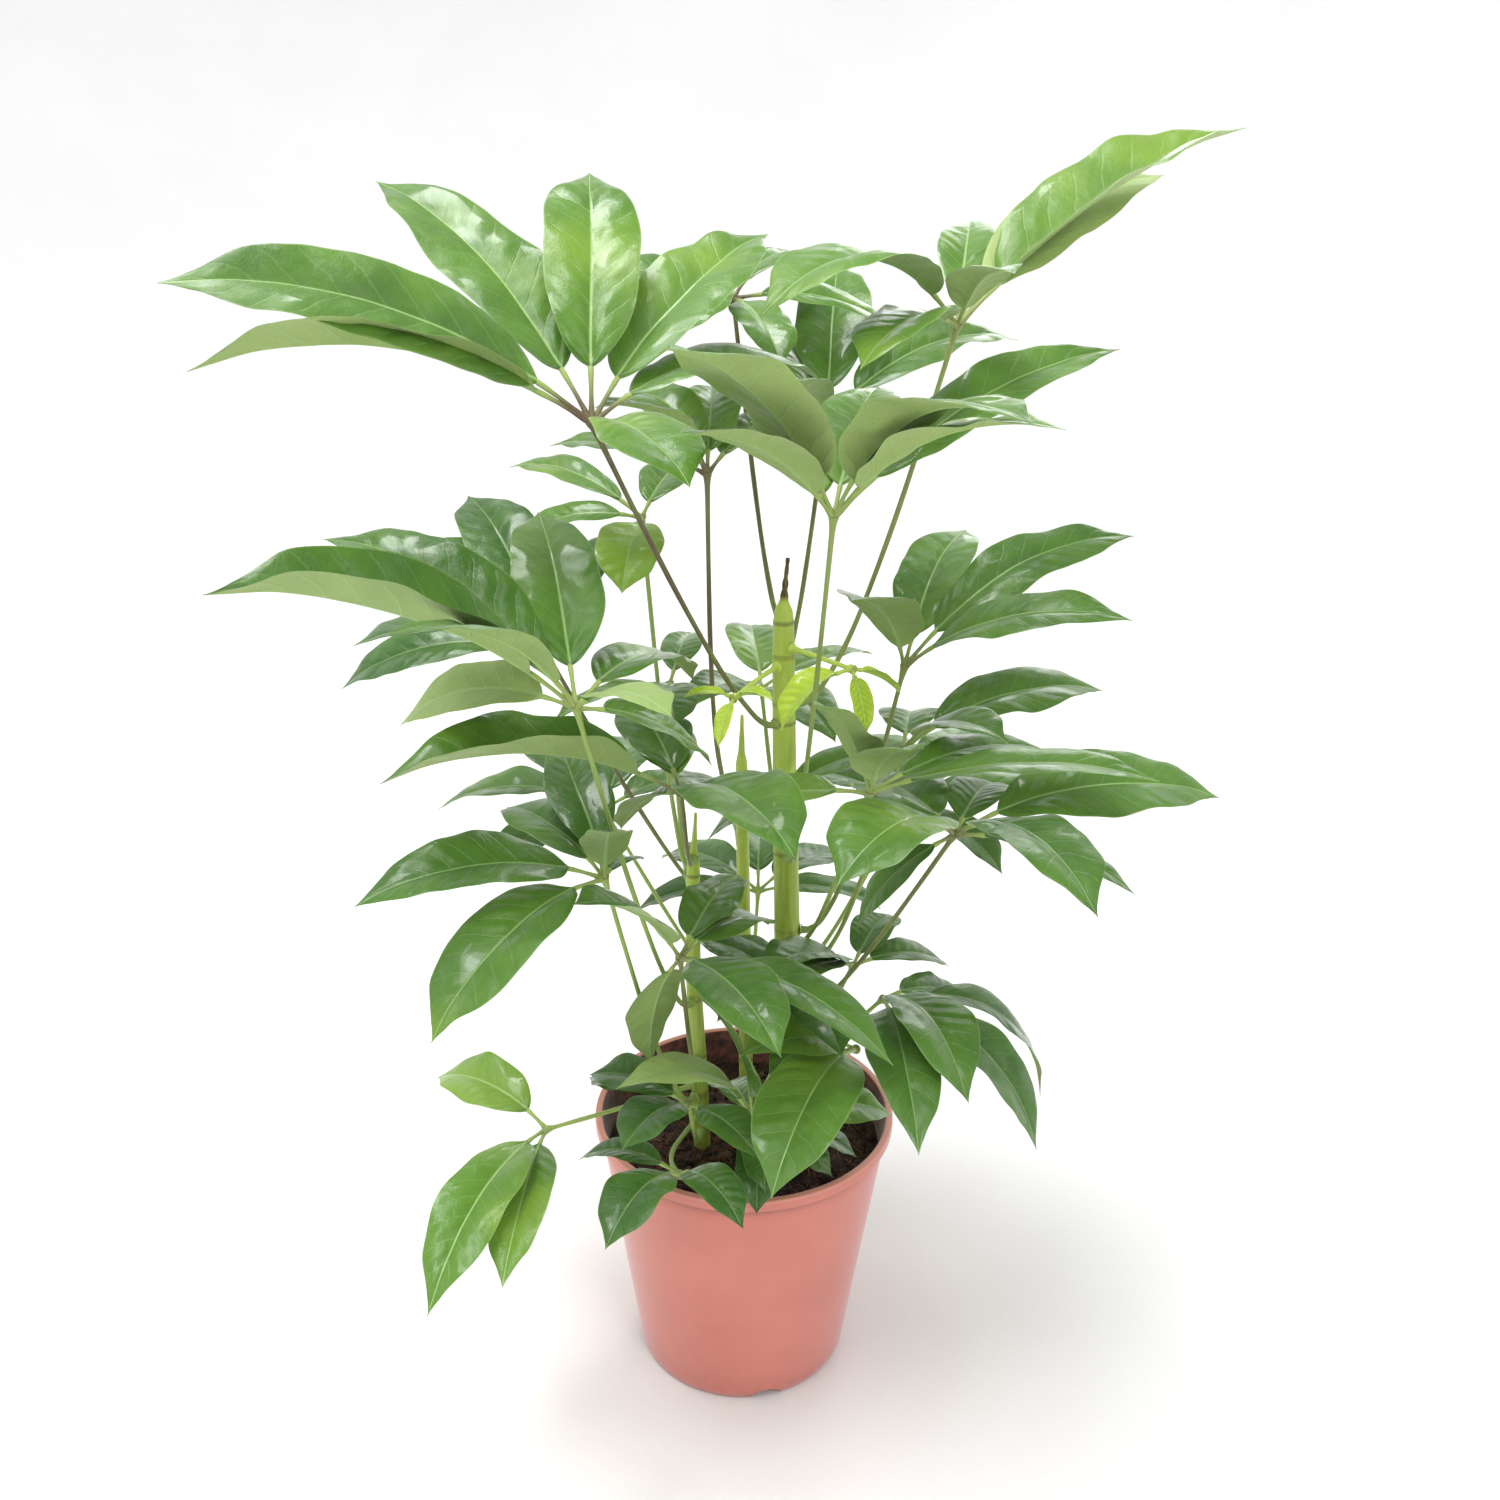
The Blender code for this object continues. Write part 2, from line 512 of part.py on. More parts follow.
class Guards:
    """Thickened shapes that are already in place, each with its owner."""

    def __init__(self):
        self.shapes = []

    def add(self, owner, shell, part="whole"):
        self.shapes.append((owner, part, shell[0].min(axis=0), shell[0].max(axis=0), tree_of(shell)))

    def touched(self, owner, whole, outer):
        """How many shapes it meets: other leaves' in full, and its own leaf's beyond the hub only."""
        shells = {"whole": (whole, tree_of(whole)), "outer": (outer, tree_of(outer))}
        count = 0
        for other, part, low, high, tree in self.shapes:
            if part != ("outer" if other == owner else "whole"):
                continue
            (points, _), own_tree = shells[part]
            if (points.min(axis=0) > high).any() or (points.max(axis=0) < low).any():
                continue
            count += bool(own_tree.overlap(tree))
        return count


def tree_of(shell):
    """A search tree over a shell's faces, which finds where it crosses another."""
    return BVHTree.FromPolygons(shell[0].tolist(), shell[1])


def by_size(options):
    return sorted(options, key=lambda option: sum(value * value for value in option))


def settle_petiole(name, leaf, guards):
    """The least bend to the side, or step along the stem, that keeps a petiole clear of what is placed."""
    bends = [k * 0.006 for k in range(-6, 7)]
    shifts = [k * 0.006 for k in range(-3, 4)]
    best = None
    for side_bend, height_shift in by_size([(bend, shift) for bend in bends for shift in shifts]):
        path = petiole_line(leaf, side_bend, height_shift)
        shell = tube(path[1:], petiole_radii(CLEARANCES[2])[1:], PETIOLE_SIDES)
        count = guards.touched(name, shell, shell)
        if best is None or count < best[0]:
            best = (count, path, shell)
        if count == 0:
            break
    if best[0]:
        print(f"{name}: its petiole touches {best[0]} other pieces")
    guards.add(name, best[2])
    guards.add(name, tube(best[1][:7], petiole_radii()[:7], PETIOLE_SIDES), "outer")
    return best[1]


def settle_leaflet(name, hub, leaflet, guards):
    """The least turn of a leaflet about its hub that keeps it clear of what is already placed."""
    turns = range(-TURN_LIMIT, TURN_LIMIT + 1, TURN_STEP)
    options = by_size([(turn, tilt) for turn in turns for tilt in turns])
    best = None
    for clearance in CLEARANCES:
        for turn, tilt in options:
            turned_leaflet = (leaflet[0] + turn, leaflet[1] + tilt, *leaflet[2:])
            whole = leaflet_guard(hub, turned_leaflet, clearance, STATIONS)
            outer = leaflet_guard(hub, turned_leaflet, clearance, STATIONS[3:])
            count = guards.touched(name, whole, outer)
            if best is None or count < best[0]:
                best = (count, turned_leaflet)
            if count == 0:
                break
        if best[0] == 0:
            break
    if best[0]:
        print(f"{name}: a leaflet at {leaflet[0]} degrees touches {best[0]} other pieces")
    guards.add(name, leaflet_guard(hub, best[1], 0, STATIONS))
    guards.add(name, leaflet_guard(hub, best[1], 0, STATIONS[3:]), "outer")
    return best[1]


def settled_leaves():
    """Every leaf's petiole and leaflets, turned apart where they would cross, as growing leaves are."""
    guards = Guards()
    guards.add("pot", turned(pot_profile(), POT_SIDES // 2))
    guards.add("soil", turned(soil_profile(), POT_SIDES // 2))
    for name in STEMS:
        guards.add(f"{name}_stem", tube(*stem_line(name), STEM_SIDES))
    leaves = {**LEAVES, **YOUNG_LEAVES}
    paths = {name: settle_petiole(name, leaf, guards) for name, leaf in leaves.items()}
    longest = max(len(leaf[3]) for leaf in leaves.values())
    found = {name: [] for name in leaves}
    for turn in range(longest):
        for name, leaf in leaves.items():
            if turn < len(leaf[3]):
                found[name].append(settle_leaflet(name, np.array(leaf[2]), leaf[3][turn], guards))
    return {name: (paths[name], found[name]) for name in leaves}


def make_leaf(name, hub, path, leaflets, material):
    blades = [leaflet_shell(hub, leaflet) for leaflet in leaflets]
    leaf = new_object(name, blades, material)
    petiole = new_object(f"{name}_petiole", [tube(path, petiole_radii(), PETIOLE_SIDES)], material)
    add_boolean(leaf, "UNION", petiole)


def main():
    clear_scene()
    make_pot()
    make_soil()
    stem_material = new_material("stem", STEM_LOOK)
    for name in STEMS:
        make_stem(name, stem_material)
    leaf_material = new_material("leaf", LEAF_LOOK)
    young_material = new_material("young_leaf", YOUNG_LOOK)
    hubs = {**LEAVES, **YOUNG_LEAVES}
    for name, (path, leaflets) in settled_leaves().items():
        material = young_material if name in YOUNG_LEAVES else leaf_material
        make_leaf(name, np.array(hubs[name][2]), path, leaflets, material)


main()
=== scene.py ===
"""Potted umbrella plant in a moulded nursery pot: the finished look, laid out as a Blender add-on.

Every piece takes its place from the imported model. A leaf is a petiole that ends in a hub with leaflets
around it, and the stems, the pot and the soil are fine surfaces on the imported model's own lines.
"""

import functools
import itertools
import json
import math

import bpy
import numpy as np
from mathutils import Matrix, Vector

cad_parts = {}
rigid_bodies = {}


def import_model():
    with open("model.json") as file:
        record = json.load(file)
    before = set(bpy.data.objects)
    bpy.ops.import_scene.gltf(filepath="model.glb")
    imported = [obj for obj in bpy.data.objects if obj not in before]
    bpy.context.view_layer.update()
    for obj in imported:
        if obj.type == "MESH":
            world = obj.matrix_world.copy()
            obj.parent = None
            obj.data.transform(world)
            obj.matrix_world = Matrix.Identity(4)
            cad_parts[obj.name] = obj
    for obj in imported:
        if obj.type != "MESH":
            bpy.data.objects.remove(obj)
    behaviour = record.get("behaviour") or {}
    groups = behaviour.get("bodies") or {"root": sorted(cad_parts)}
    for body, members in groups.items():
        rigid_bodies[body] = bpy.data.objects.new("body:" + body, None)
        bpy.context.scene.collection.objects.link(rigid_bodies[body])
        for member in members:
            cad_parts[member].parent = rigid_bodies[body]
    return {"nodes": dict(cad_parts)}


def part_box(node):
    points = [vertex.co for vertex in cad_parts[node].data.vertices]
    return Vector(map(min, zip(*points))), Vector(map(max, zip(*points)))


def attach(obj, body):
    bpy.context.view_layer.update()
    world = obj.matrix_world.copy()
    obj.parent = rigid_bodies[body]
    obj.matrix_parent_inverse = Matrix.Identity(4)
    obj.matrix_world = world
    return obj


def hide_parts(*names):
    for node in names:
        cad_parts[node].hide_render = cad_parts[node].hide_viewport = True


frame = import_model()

bl_info = {
    "name": "Potted umbrella plant",
    "version": (1, 0, 0),
    "blender": (4, 5, 0),
    "location": "View3D > Sidebar > Plant",
    "description": "Makes a potted umbrella plant, with its pot, soil, stems and leaves, on a plain stage",
    "category": "Add Mesh",
}

# Pot: sizes in metres, and the notch's heading in degrees
POT_HEIGHT = float(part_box("pot")[1][2])
RIM_RADIUS = 0.120
LIP_WIDTH = 0.0055
LIP_DEPTH = 0.009
LIP_ROUND = 0.001
LIP_STEP = 0.0015
WALL_TOP_RADIUS = 0.1170
FOOT_RADIUS = 0.0855
FOOT_ROUND = 0.004
WALL = 0.0024
FLOOR_HEIGHT = 0.011
FLOOR_THICKNESS = 0.0026
NOTCH_COUNT = 4
NOTCH_HEADING = -76
NOTCH_WIDTH = 0.026
NOTCH_HEIGHT = 0.0085
DRAIN_HOLE_COUNT = 6
DRAIN_HOLE_RADIUS = 0.005
DRAIN_CIRCLE_RADIUS = 0.058
CENTRE_HOLE_RADIUS = 0.006
CUT_DEPTH = 0.004
LIP_TOP_ROUND = 0.0016
LIP_INNER_ROUND = 0.0012

# Soil: sizes in metres, the share of crumbs that are bark chips, and the sides of the root ball
SOIL_TOP = 0.194
SOIL_MOUND = 0.004
SOIL_RIM_DIP = 0.004
SOCKET_DEPTH = 0.040
GAP = 0.0003
BARK_SHARE = 0.16
SOIL_SIDES = 220
LUMP_LIMITS = (-0.004, 0.0045)
SOIL_LUMPS = ((1.7, 0.034, 3), (1.2, 0.012, 4), (0.6, 0.0055, 5))  # height (millimetres), size, seed

# Stems: route of the centre line from the socket in the soil to the bud, and the radius at each point
STEMS = {
    "main": (
        ((0.036, 0.002, SOIL_TOP - SOCKET_DEPTH), (0.034, 0.000, 0.30), (0.030, 0.000, 0.42),
         (0.026, 0.000, 0.54), (0.024, 0.000, 0.625), (0.024, 0.000, 0.648), (0.026, 0.000, 0.676)),
        (0.0110, 0.0105, 0.0095, 0.0085, 0.0075, 0.0045, 0.0012),
    ),
    "left": (
        ((-0.032, -0.015, SOIL_TOP - SOCKET_DEPTH), (-0.036, -0.020, 0.27), (-0.040, -0.022, 0.36),
         (-0.040, -0.020, 0.44), (-0.039, -0.020, 0.468), (-0.038, -0.020, 0.490)),
        (0.0068, 0.0064, 0.0058, 0.0050, 0.0036, 0.0010),
    ),
    "middle": (
        ((0.002, 0.030, SOIL_TOP - SOCKET_DEPTH), (0.000, 0.026, 0.30), (-0.003, 0.022, 0.42),
         (-0.005, 0.020, 0.51), (-0.005, 0.020, 0.535), (-0.005, 0.020, 0.552)),
        (0.0058, 0.0054, 0.0050, 0.0044, 0.0034, 0.0010),
    ),
}

# Each leaf: its stem, the height at which it leaves the stem, the hub (x, y, z), and its leaflets as
# heading (degrees from +X towards +Y), lift above level (degrees), length and width (millimetres), arch
# above the straight line to the tip (percent of the length) and roll about that line (degrees).
LEAVES = {
    "leaf_top_left": ("main", 0.555, (-0.095, -0.120, 0.785), (
        (200, 20, 245, 62, 10, -45), (205, 10, 225, 60, 12, -30), (140, 35, 235, 64, 8, -15),
        (95, 40, 200, 62, 12, 0), (55, 30, 210, 60, 8, 15), (40, 5, 175, 48, 14, 10),
        (305, 0, 110, 58, 12, 0))),
    "leaf_top_right": ("main", 0.570, (0.130, -0.030, 0.835), (
        (25, 30, 250, 66, 6, 35), (40, 35, 225, 62, 8, 15), (285, 25, 90, 42, 15, 0),
        (80, 25, 150, 38, 10, 0), (225, 5, 180, 64, 20, -10), (240, -5, 140, 50, 12, 0))),
    "leaf_top_centre": ("main", 0.450, (0.050, -0.120, 0.730), (
        (235, 35, 200, 66, 10, 0), (230, 25, 160, 50, 10, 0), (300, 30, 195, 66, 16, 0),
        (315, 25, 175, 52, 12, 0), (25, 25, 225, 50, 8, 20), (110, 15, 130, 46, 10, 0),
        (75, 20, 150, 50, 10, 0))),
    "leaf_top_back": ("main", 0.605, (0.055, 0.100, 0.755), (
        (85, 35, 190, 60, 5, 0), (110, 25, 170, 44, 10, 0), (250, 20, 150, 46, 10, 0),
        (35, 15, 200, 50, 12, 20), (295, 15, 120, 44, 10, 0))),
    "leaf_top_far": ("main", 0.630, (-0.015, 0.120, 0.840), (
        (60, 5, 120, 42, 15, 0), (290, -20, 110, 40, 10, 0), (20, -10, 130, 40, 10, 20),
        (250, -10, 120, 46, 12, 0), (105, 10, 130, 46, 10, 0), (180, 5, 130, 46, 10, -20))),
    "leaf_behind_bud": ("middle", 0.490, (-0.030, -0.010, 0.735), (
        (155, 5, 125, 42, 8, -10), (225, 30, 110, 44, 15, 0), (130, 25, 105, 46, 18, -20),
        (65, 5, 140, 44, 10, 0), (90, 20, 130, 44, 10, 0))),
    "leaf_far_left": ("left", 0.440, (-0.080, 0.060, 0.690), (
        (265, -20, 95, 48, 10, 0), (70, 15, 100, 38, 10, 0), (145, 10, 135, 32, 10, -10),
        (175, -10, 95, 30, 10, -20))),
    "leaf_left_front": ("left", 0.335, (-0.105, -0.160, 0.620), (
        (205, 25, 225, 56, 10, -30), (155, 25, 205, 58, 12, -20), (235, 25, 165, 44, 12, 0),
        (150, -15, 155, 48, 12, -25), (105, 30, 180, 58, 8, 0), (55, 0, 160, 46, 16, 10),
        (305, 15, 115, 36, 10, 0), (30, -30, 110, 46, 10, 10))),
    "leaf_left_back": ("middle", 0.380, (-0.150, 0.040, 0.590), (
        (225, 15, 165, 46, 10, 0), (120, 30, 185, 62, 10, -10), (145, 15, 205, 60, 12, -20),
        (65, 30, 140, 44, 12, 0), (180, -10, 160, 48, 14, -20))),
    "leaf_centre_left": ("left", 0.455, (-0.045, -0.090, 0.535), (
        (200, 10, 200, 52, 12, -20), (110, 10, 130, 50, 10, 0), (300, 5, 150, 70, 15, 0),
        (130, -35, 90, 36, 10, 0), (65, -30, 80, 36, 10, 0), (75, 0, 120, 48, 10, 0))),
    "leaf_centre_back": ("left", 0.425, (-0.060, 0.050, 0.565), (
        (235, 10, 95, 32, 10, 0), (300, -10, 95, 44, 10, 0), (115, -40, 100, 44, 10, 0),
        (80, 10, 90, 32, 10, 0))),
    "leaf_behind_stem": ("main", 0.440, (0.010, 0.130, 0.535), (
        (95, 10, 120, 50, 10, 0), (235, 10, 110, 46, 10, 0), (295, 0, 130, 46, 10, 0),
        (150, -30, 110, 44, 10, 0), (40, 5, 120, 42, 10, 0))),
    "leaf_right_upper": ("main", 0.385, (0.110, -0.010, 0.600), (
        (220, 40, 135, 52, 12, 0), (65, 30, 150, 56, 12, 0), (20, 25, 200, 48, 12, 25),
        (335, 20, 165, 46, 12, 20))),
    "leaf_right_middle": ("main", 0.355, (0.110, -0.030, 0.545), (
        (310, 20, 100, 44, 18, 0), (20, 10, 165, 50, 12, 20), (115, 15, 115, 48, 15, 0),
        (140, -10, 95, 40, 10, 0))),
    "leaf_mid_right": ("main", 0.380, (0.080, -0.110, 0.545), (
        (235, 50, 110, 40, 10, 0), (285, 45, 90, 44, 10, 0), (345, 10, 185, 44, 8, 5),
        (30, 0, 160, 36, 10, 10), (150, 0, 130, 46, 12, -10))),
    "leaf_right_front": ("main", 0.322, (0.135, -0.130, 0.525), (
        (10, 5, 185, 58, 12, 25), (295, 5, 150, 56, 18, 0), (240, 5, 130, 66, 20, 0),
        (110, -5, 120, 56, 12, 0), (70, 0, 100, 40, 10, 0), (190, -45, 90, 36, 10, 0),
        (340, -10, 120, 36, 10, 0))),
    "leaf_low_left": ("left", 0.248, (-0.095, -0.120, 0.485), (
        (205, 5, 165, 54, 12, -20), (240, -10, 160, 62, 15, 0), (130, 5, 125, 50, 10, 0),
        (100, 10, 140, 44, 10, 0), (280, 45, 90, 34, 10, 0), (60, -25, 75, 30, 10, 0))),
    "leaf_low_front": ("left", 0.284, (-0.045, -0.120, 0.425), (
        (230, 40, 125, 52, 10, 0), (130, -35, 110, 42, 10, 0), (105, 5, 120, 40, 10, 0),
        (300, 0, 135, 54, 12, 0), (330, -10, 165, 44, 12, 0), (50, -10, 110, 54, 15, 0))),
    "leaf_low_centre": ("main", 0.260, (0.040, -0.060, 0.355), (
        (285, 10, 100, 46, 12, 0), (235, 15, 110, 50, 12, 0), (105, 5, 110, 46, 12, 0),
        (265, -15, 110, 48, 12, 0), (170, 0, 90, 42, 12, 0))),
    "leaf_low_right": ("main", 0.305, (0.080, -0.040, 0.375), (
        (30, -15, 95, 36, 12, 0), (75, -5, 80, 36, 10, 0), (230, 35, 100, 52, 12, 0),
        (245, 5, 100, 44, 10, 0))),
    "leaf_rim_right": ("main", 0.285, (0.100, -0.070, 0.365), (
        (275, -10, 150, 50, 15, 0), (290, 0, 135, 54, 20, 0), (325, -30, 150, 46, 20, 0),
        (5, -35, 155, 40, 25, 0), (30, -20, 90, 36, 15, 0))),
    "leaf_gloss_front": ("main", 0.275, (0.080, -0.090, 0.335), (
        (245, -10, 150, 66, 18, 0), (130, -10, 90, 44, 10, 0), (205, 0, 100, 46, 12, 0))),
    "leaf_pale_front": ("main", 0.242, (0.005, -0.090, 0.275), (
        (210, 30, 125, 42, 20, 0), (200, 60, 120, 50, 10, 0), (25, 5, 110, 52, 12, 0),
        (315, 35, 70, 30, 10, 0), (120, 0, 80, 40, 12, 0))),
    "leaf_soil_left": ("left", 0.215, (-0.040, -0.110, 0.300), (
        (235, 5, 75, 46, 15, 0), (120, 0, 90, 42, 10, 0), (310, 0, 80, 32, 10, 0), (160, 10, 80, 40, 12, 0))),
    "leaf_soil_centre": ("middle", 0.225, (0.010, -0.060, 0.250), (
        (285, 0, 70, 34, 15, 0), (250, 5, 75, 34, 15, 0), (0, 10, 80, 36, 12, 0), (330, 5, 70, 32, 12, 0))),
    "leaf_rim_front": ("left", 0.232, (-0.045, -0.150, 0.270), (
        (155, -10, 85, 28, 15, 0), (240, 0, 90, 42, 20, 0), (305, 5, 80, 36, 20, 0))),
    "leaf_hanging_left": ("left", 0.252, (-0.145, -0.100, 0.270), (
        (145, 0, 115, 44, 15, -15), (250, -10, 170, 48, 15, 0), (265, 0, 140, 42, 10, 0))),
    "leaf_back_left": ("middle", 0.300, (-0.120, 0.120, 0.430), (
        (130, 10, 150, 54, 12, 0), (180, 0, 140, 52, 15, 0), (80, 5, 140, 50, 12, 0),
        (225, -10, 120, 46, 12, 0), (30, 0, 120, 46, 12, 0))),
    "leaf_back_right": ("main", 0.340, (0.130, 0.110, 0.440), (
        (50, 10, 150, 54, 12, 0), (0, 0, 140, 50, 15, 0), (100, 5, 140, 50, 12, 0),
        (310, -10, 110, 44, 12, 0), (150, 0, 120, 44, 12, 0))),
    "leaf_back_low": ("middle", 0.250, (0.010, 0.150, 0.340), (
        (90, 5, 130, 52, 14, 0), (45, 0, 130, 48, 14, 0), (135, 0, 130, 48, 14, 0),
        (180, -5, 110, 42, 12, 0), (0, -5, 110, 42, 12, 0))),
}

# Young growth near the top of the main stem, in the same form
YOUNG_LEAVES = {
    "young_leaf_right": ("main", 0.612, (0.070, -0.045, 0.610), (
        (215, -35, 65, 26, 14, 0), (285, -45, 50, 16, 10, 0), (20, -30, 45, 14, 10, 0))),
    "young_leaf_left": ("main", 0.598, (-0.010, -0.050, 0.590), (
        (250, -40, 40, 12, 10, 0), (170, 10, 35, 12, 10, 0), (320, 10, 35, 12, 10, 0))),
}

# How light a leaf's green is (0 to 1) where its hub's height doesn't say it, some of it painted light on leaves
# that hang in shade, how brown its petiole is (0 to 1) where it isn't plain, the hub heights (metres) of the
# darkest and the lightest green, the plain petiole's brown, the young leaves' tone and fold, the leaflets (leaf
# and place in its list) that are lighter still, one of them by painted light, and those that hang pale side up
TONES = {
    "leaf_far_left": 0.75, "leaf_top_right": 0.95, "leaf_top_left": 0.80, "leaf_top_far": 0.6,
    # leaf_gloss_front, leaf_hanging_left and leaf_pale_front are lighter as painted light: they hang low, in
    # shade
    "leaf_gloss_front": 0.95, "leaf_hanging_left": 0.95, "leaf_rim_right": 0.28, "leaf_pale_front": 1.0,
    "leaf_soil_left": 0.15, "leaf_soil_centre": 0.1, "leaf_left_front": 0.55, "leaf_left_back": 0.25,
    "leaf_top_back": 0.45,
}
BROWN_PETIOLES = {
    "leaf_top_left": 0.95, "leaf_top_right": 0.45, "leaf_top_centre": 0.30, "leaf_top_back": 0.75,
    "leaf_top_far": 0.90, "leaf_behind_bud": 0.90, "leaf_far_left": 0.15, "leaf_left_front": 0.05,
    "leaf_left_back": 0.80, "leaf_right_upper": 0.55, "leaf_right_front": 0.65, "leaf_centre_left": 0.70,
    "leaf_low_front": 0.60, "leaf_right_middle": 0.35, "leaf_low_right": 0.40,
}
LOW_TONE_HEIGHT, HIGH_TONE_HEIGHT = 0.20, 0.80
PLAIN_PETIOLE = 0.1
YOUNG_TONE, YOUNG_FOLD = 0.6, 0.55
BRIGHT_LEAFLETS = {
    # The second leaflet of leaf_top_right is lighter as painted light: it lies in the shadow of the first
    ("leaf_top_right", 1): 0.5, ("leaf_far_left", 0): 0.8, ("leaf_top_far", 3): 0.5,
    ("leaf_top_back", 2): 0.5,
}
TURNED_LEAFLETS = {
    ("leaf_pale_front", 0), ("leaf_pale_front", 1), ("leaf_left_front", 3), ("leaf_left_front", 6),
    ("leaf_top_right", 1),
}

# Leaflets folded along the midrib: roll (degrees) and the rise of each half as a share of its width
FOLDED_LEAFLETS = {
    ("leaf_top_left", 1): (8, 0.60), ("leaf_left_front", 0): (-4, 0.78), ("leaf_centre_left", 0): (2, 0.85),
    ("leaf_top_right", 0): (2, 0.55), ("leaf_left_back", 2): (0, 0.70), ("leaf_top_centre", 5): (0, 0.5),
}

# Petioles: sizes in metres, how far they are slimmed, and their stations as shares of the length
PETIOLE_BASE_RADIUS = 0.0045
PETIOLE_RADIUS = 0.0023
PETIOLE_SLIMMED = 0.24
HUB_RADIUS = 0.0042
PETIOLE_COLLAR = 0.002
PETIOLE_OUTSET = 0.030
PETIOLE_STATIONS = np.array((0, 0.06, 0.18, 0.38, 0.6, 0.8, 0.94))

# Leaflets: shares of the length or of the half width
STALK_SHARE = 0.16
FOLD = 0.16
WIDEST_RISE = 0.60
TIP_FALL = 0.75

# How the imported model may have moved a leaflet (degrees) or a petiole (metres) so that leaves are clear
TURNS = np.arange(-35, 36, 5)
BENDS = np.arange(-6, 7) * 0.006
SHIFTS = np.arange(-3, 4) * 0.006
MATCH = 0.0012

# Leaflet detail: sizes in metres, twist in degrees, and the rest as shares of the length or the half width
VEIN_PAIRS = 9
VEIN_SLANT = 0.17
TWIST = 7
BOW = 0.014
FULLER = (-0.10, 0.16)
DRIP_TIP = 0.46
POINT_SHARE = 0.07
RAGGED = 0.030
DROOP = 0.01
MIDRIB_ROUND = 0.06
GROOVE = 0.25
BROAD_HALF = 0.030
FULL_HALF = 0.012
THIN_HALF = 0.006
RIB_WIDTH = 0.0013
BROAD_PUCKER, FINE_PUCKER = 0.052, 0.021
MARGIN_POWER = 2.4
STALK_RADIUS = 0.0013
HALF_ACROSS = np.array((0, 0.05, 0.14, 0.26, 0.40, 0.55, 0.70, 0.84, 0.95, 1))
ACROSS = np.concatenate([-HALF_ACROSS[:0:-1], HALF_ACROSS])

# Stem detail: steps along and sides round, the side that faces +X, sizes in metres, and the bud's narrowing
STEM_STEPS, STEM_SIDES = 28, 40
STEM_FRONT = np.array((1.0, 0.13, 0.0))
SCAR_HEIGHT = 0.0022
BUD_LENGTH = 0.026
BUD_NARROWED = 0.42

# The material of each part of a leaf
FACES = {"top": 0, "under": 1, "stalk": 2}

# Stage: the camera's lens and film width (millimetres), its place and its turns (degrees, axis), what the
# lights point at, how wide and how tilted (degrees) the even light is, and the floor's flat radius and rise
CAMERA_LENS, FILM_WIDTH = 34.8, 36
CAMERA_PLACE = (0, -0.991, 0.918)
CAMERA_TURNS = ((-0.07, "Z"), (90 - 21.28, "X"), (0.69, "Z"))
PLANT_MIDDLE = (0, 0, 0.55)
EVEN_LIGHT_WIDTH, EVEN_LIGHT_TURN = 34, (12, -14, 0)
FLOOR_FLAT, FLOOR_RISE = 2.6, 0.45


def unit(vectors):
    """Each vector at length 1."""
    return vectors / np.linalg.norm(vectors, axis=-1, keepdims=True)


def headings(count):
    """Angles spread evenly round a circle, in radians."""
    return np.arange(count) * 2 * math.pi / count


def circle(angle):
    """Points (cos a, sin a) of a circle of radius 1."""
    return np.stack([np.cos(angle), np.sin(angle)], axis=-1)


def around(radius, height, angle):
    """Points (radius cos a, radius sin a, height) about the Z axis."""
    return np.stack([radius * np.cos(angle), radius * np.sin(angle), height + 0 * angle], axis=-1)


def eased(value, low, high):
    """0 below low, 1 above high, and a smooth rise 3x^2 - 2x^3 between them."""
    x = np.clip((value - low) / (high - low), 0, 1)
    return x * x * (3 - 2 * x)


def smooth_route(route, values, steps):
    """A Catmull-Rom curve through the route's points, with the values carried along it."""
    knots = np.column_stack([np.array(route, float), np.array(values, float)])
    ends = np.vstack([2 * knots[0] - knots[1], knots, 2 * knots[-1] - knots[-2]])
    a, b, c, d = (ends[i : i + len(knots) - 1, None] for i in range(4))
    t = (np.arange(steps) / steps)[None, :, None]
    curve = 2 * b + (c - a) * t + (2 * a - 5 * b + 4 * c - d) * t**2 + (3 * b - a - 3 * c + d) * t**3
    samples = np.vstack([curve.reshape(-1, knots.shape[1]) / 2, knots[-1:]])
    return samples[:, :3], samples[:, 3]


def waves(points, size, seed, count=24):
    """Soft unevenness of about -1 to 1: a sum of plane waves of about one size in all directions."""
    rng = np.random.default_rng(seed)
    directions = unit(rng.normal(size=(count, 3))) * rng.uniform(0.6, 1.5, (count, 1)) * 2 * math.pi / size
    return np.sin(points @ directions.T + rng.uniform(0, 2 * math.pi, count)).sum(axis=-1) / math.sqrt(count)


def node_points(name):
    """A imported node's own points."""
    vertices = frame["nodes"][name].data.vertices
    points = np.empty(len(vertices) * 3, np.float32)
    vertices.foreach_get("co", points)
    return points.reshape(-1, 3).astype(float)


def distances(points, targets):
    """The distance from each point to the nearest target."""
    return np.sqrt(((points[:, None] - targets[None]) ** 2).sum(axis=-1)).min(axis=1)


def stem_at(name, height):
    """Centre and radius of a stem at a height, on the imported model's coarser line."""
    path, radii = smooth_route(*STEMS[name], 2)
    centre = np.array([np.interp(height, path[:, 2], path[:, axis]) for axis in range(3)])
    return centre, float(np.interp(height, path[:, 2], radii))


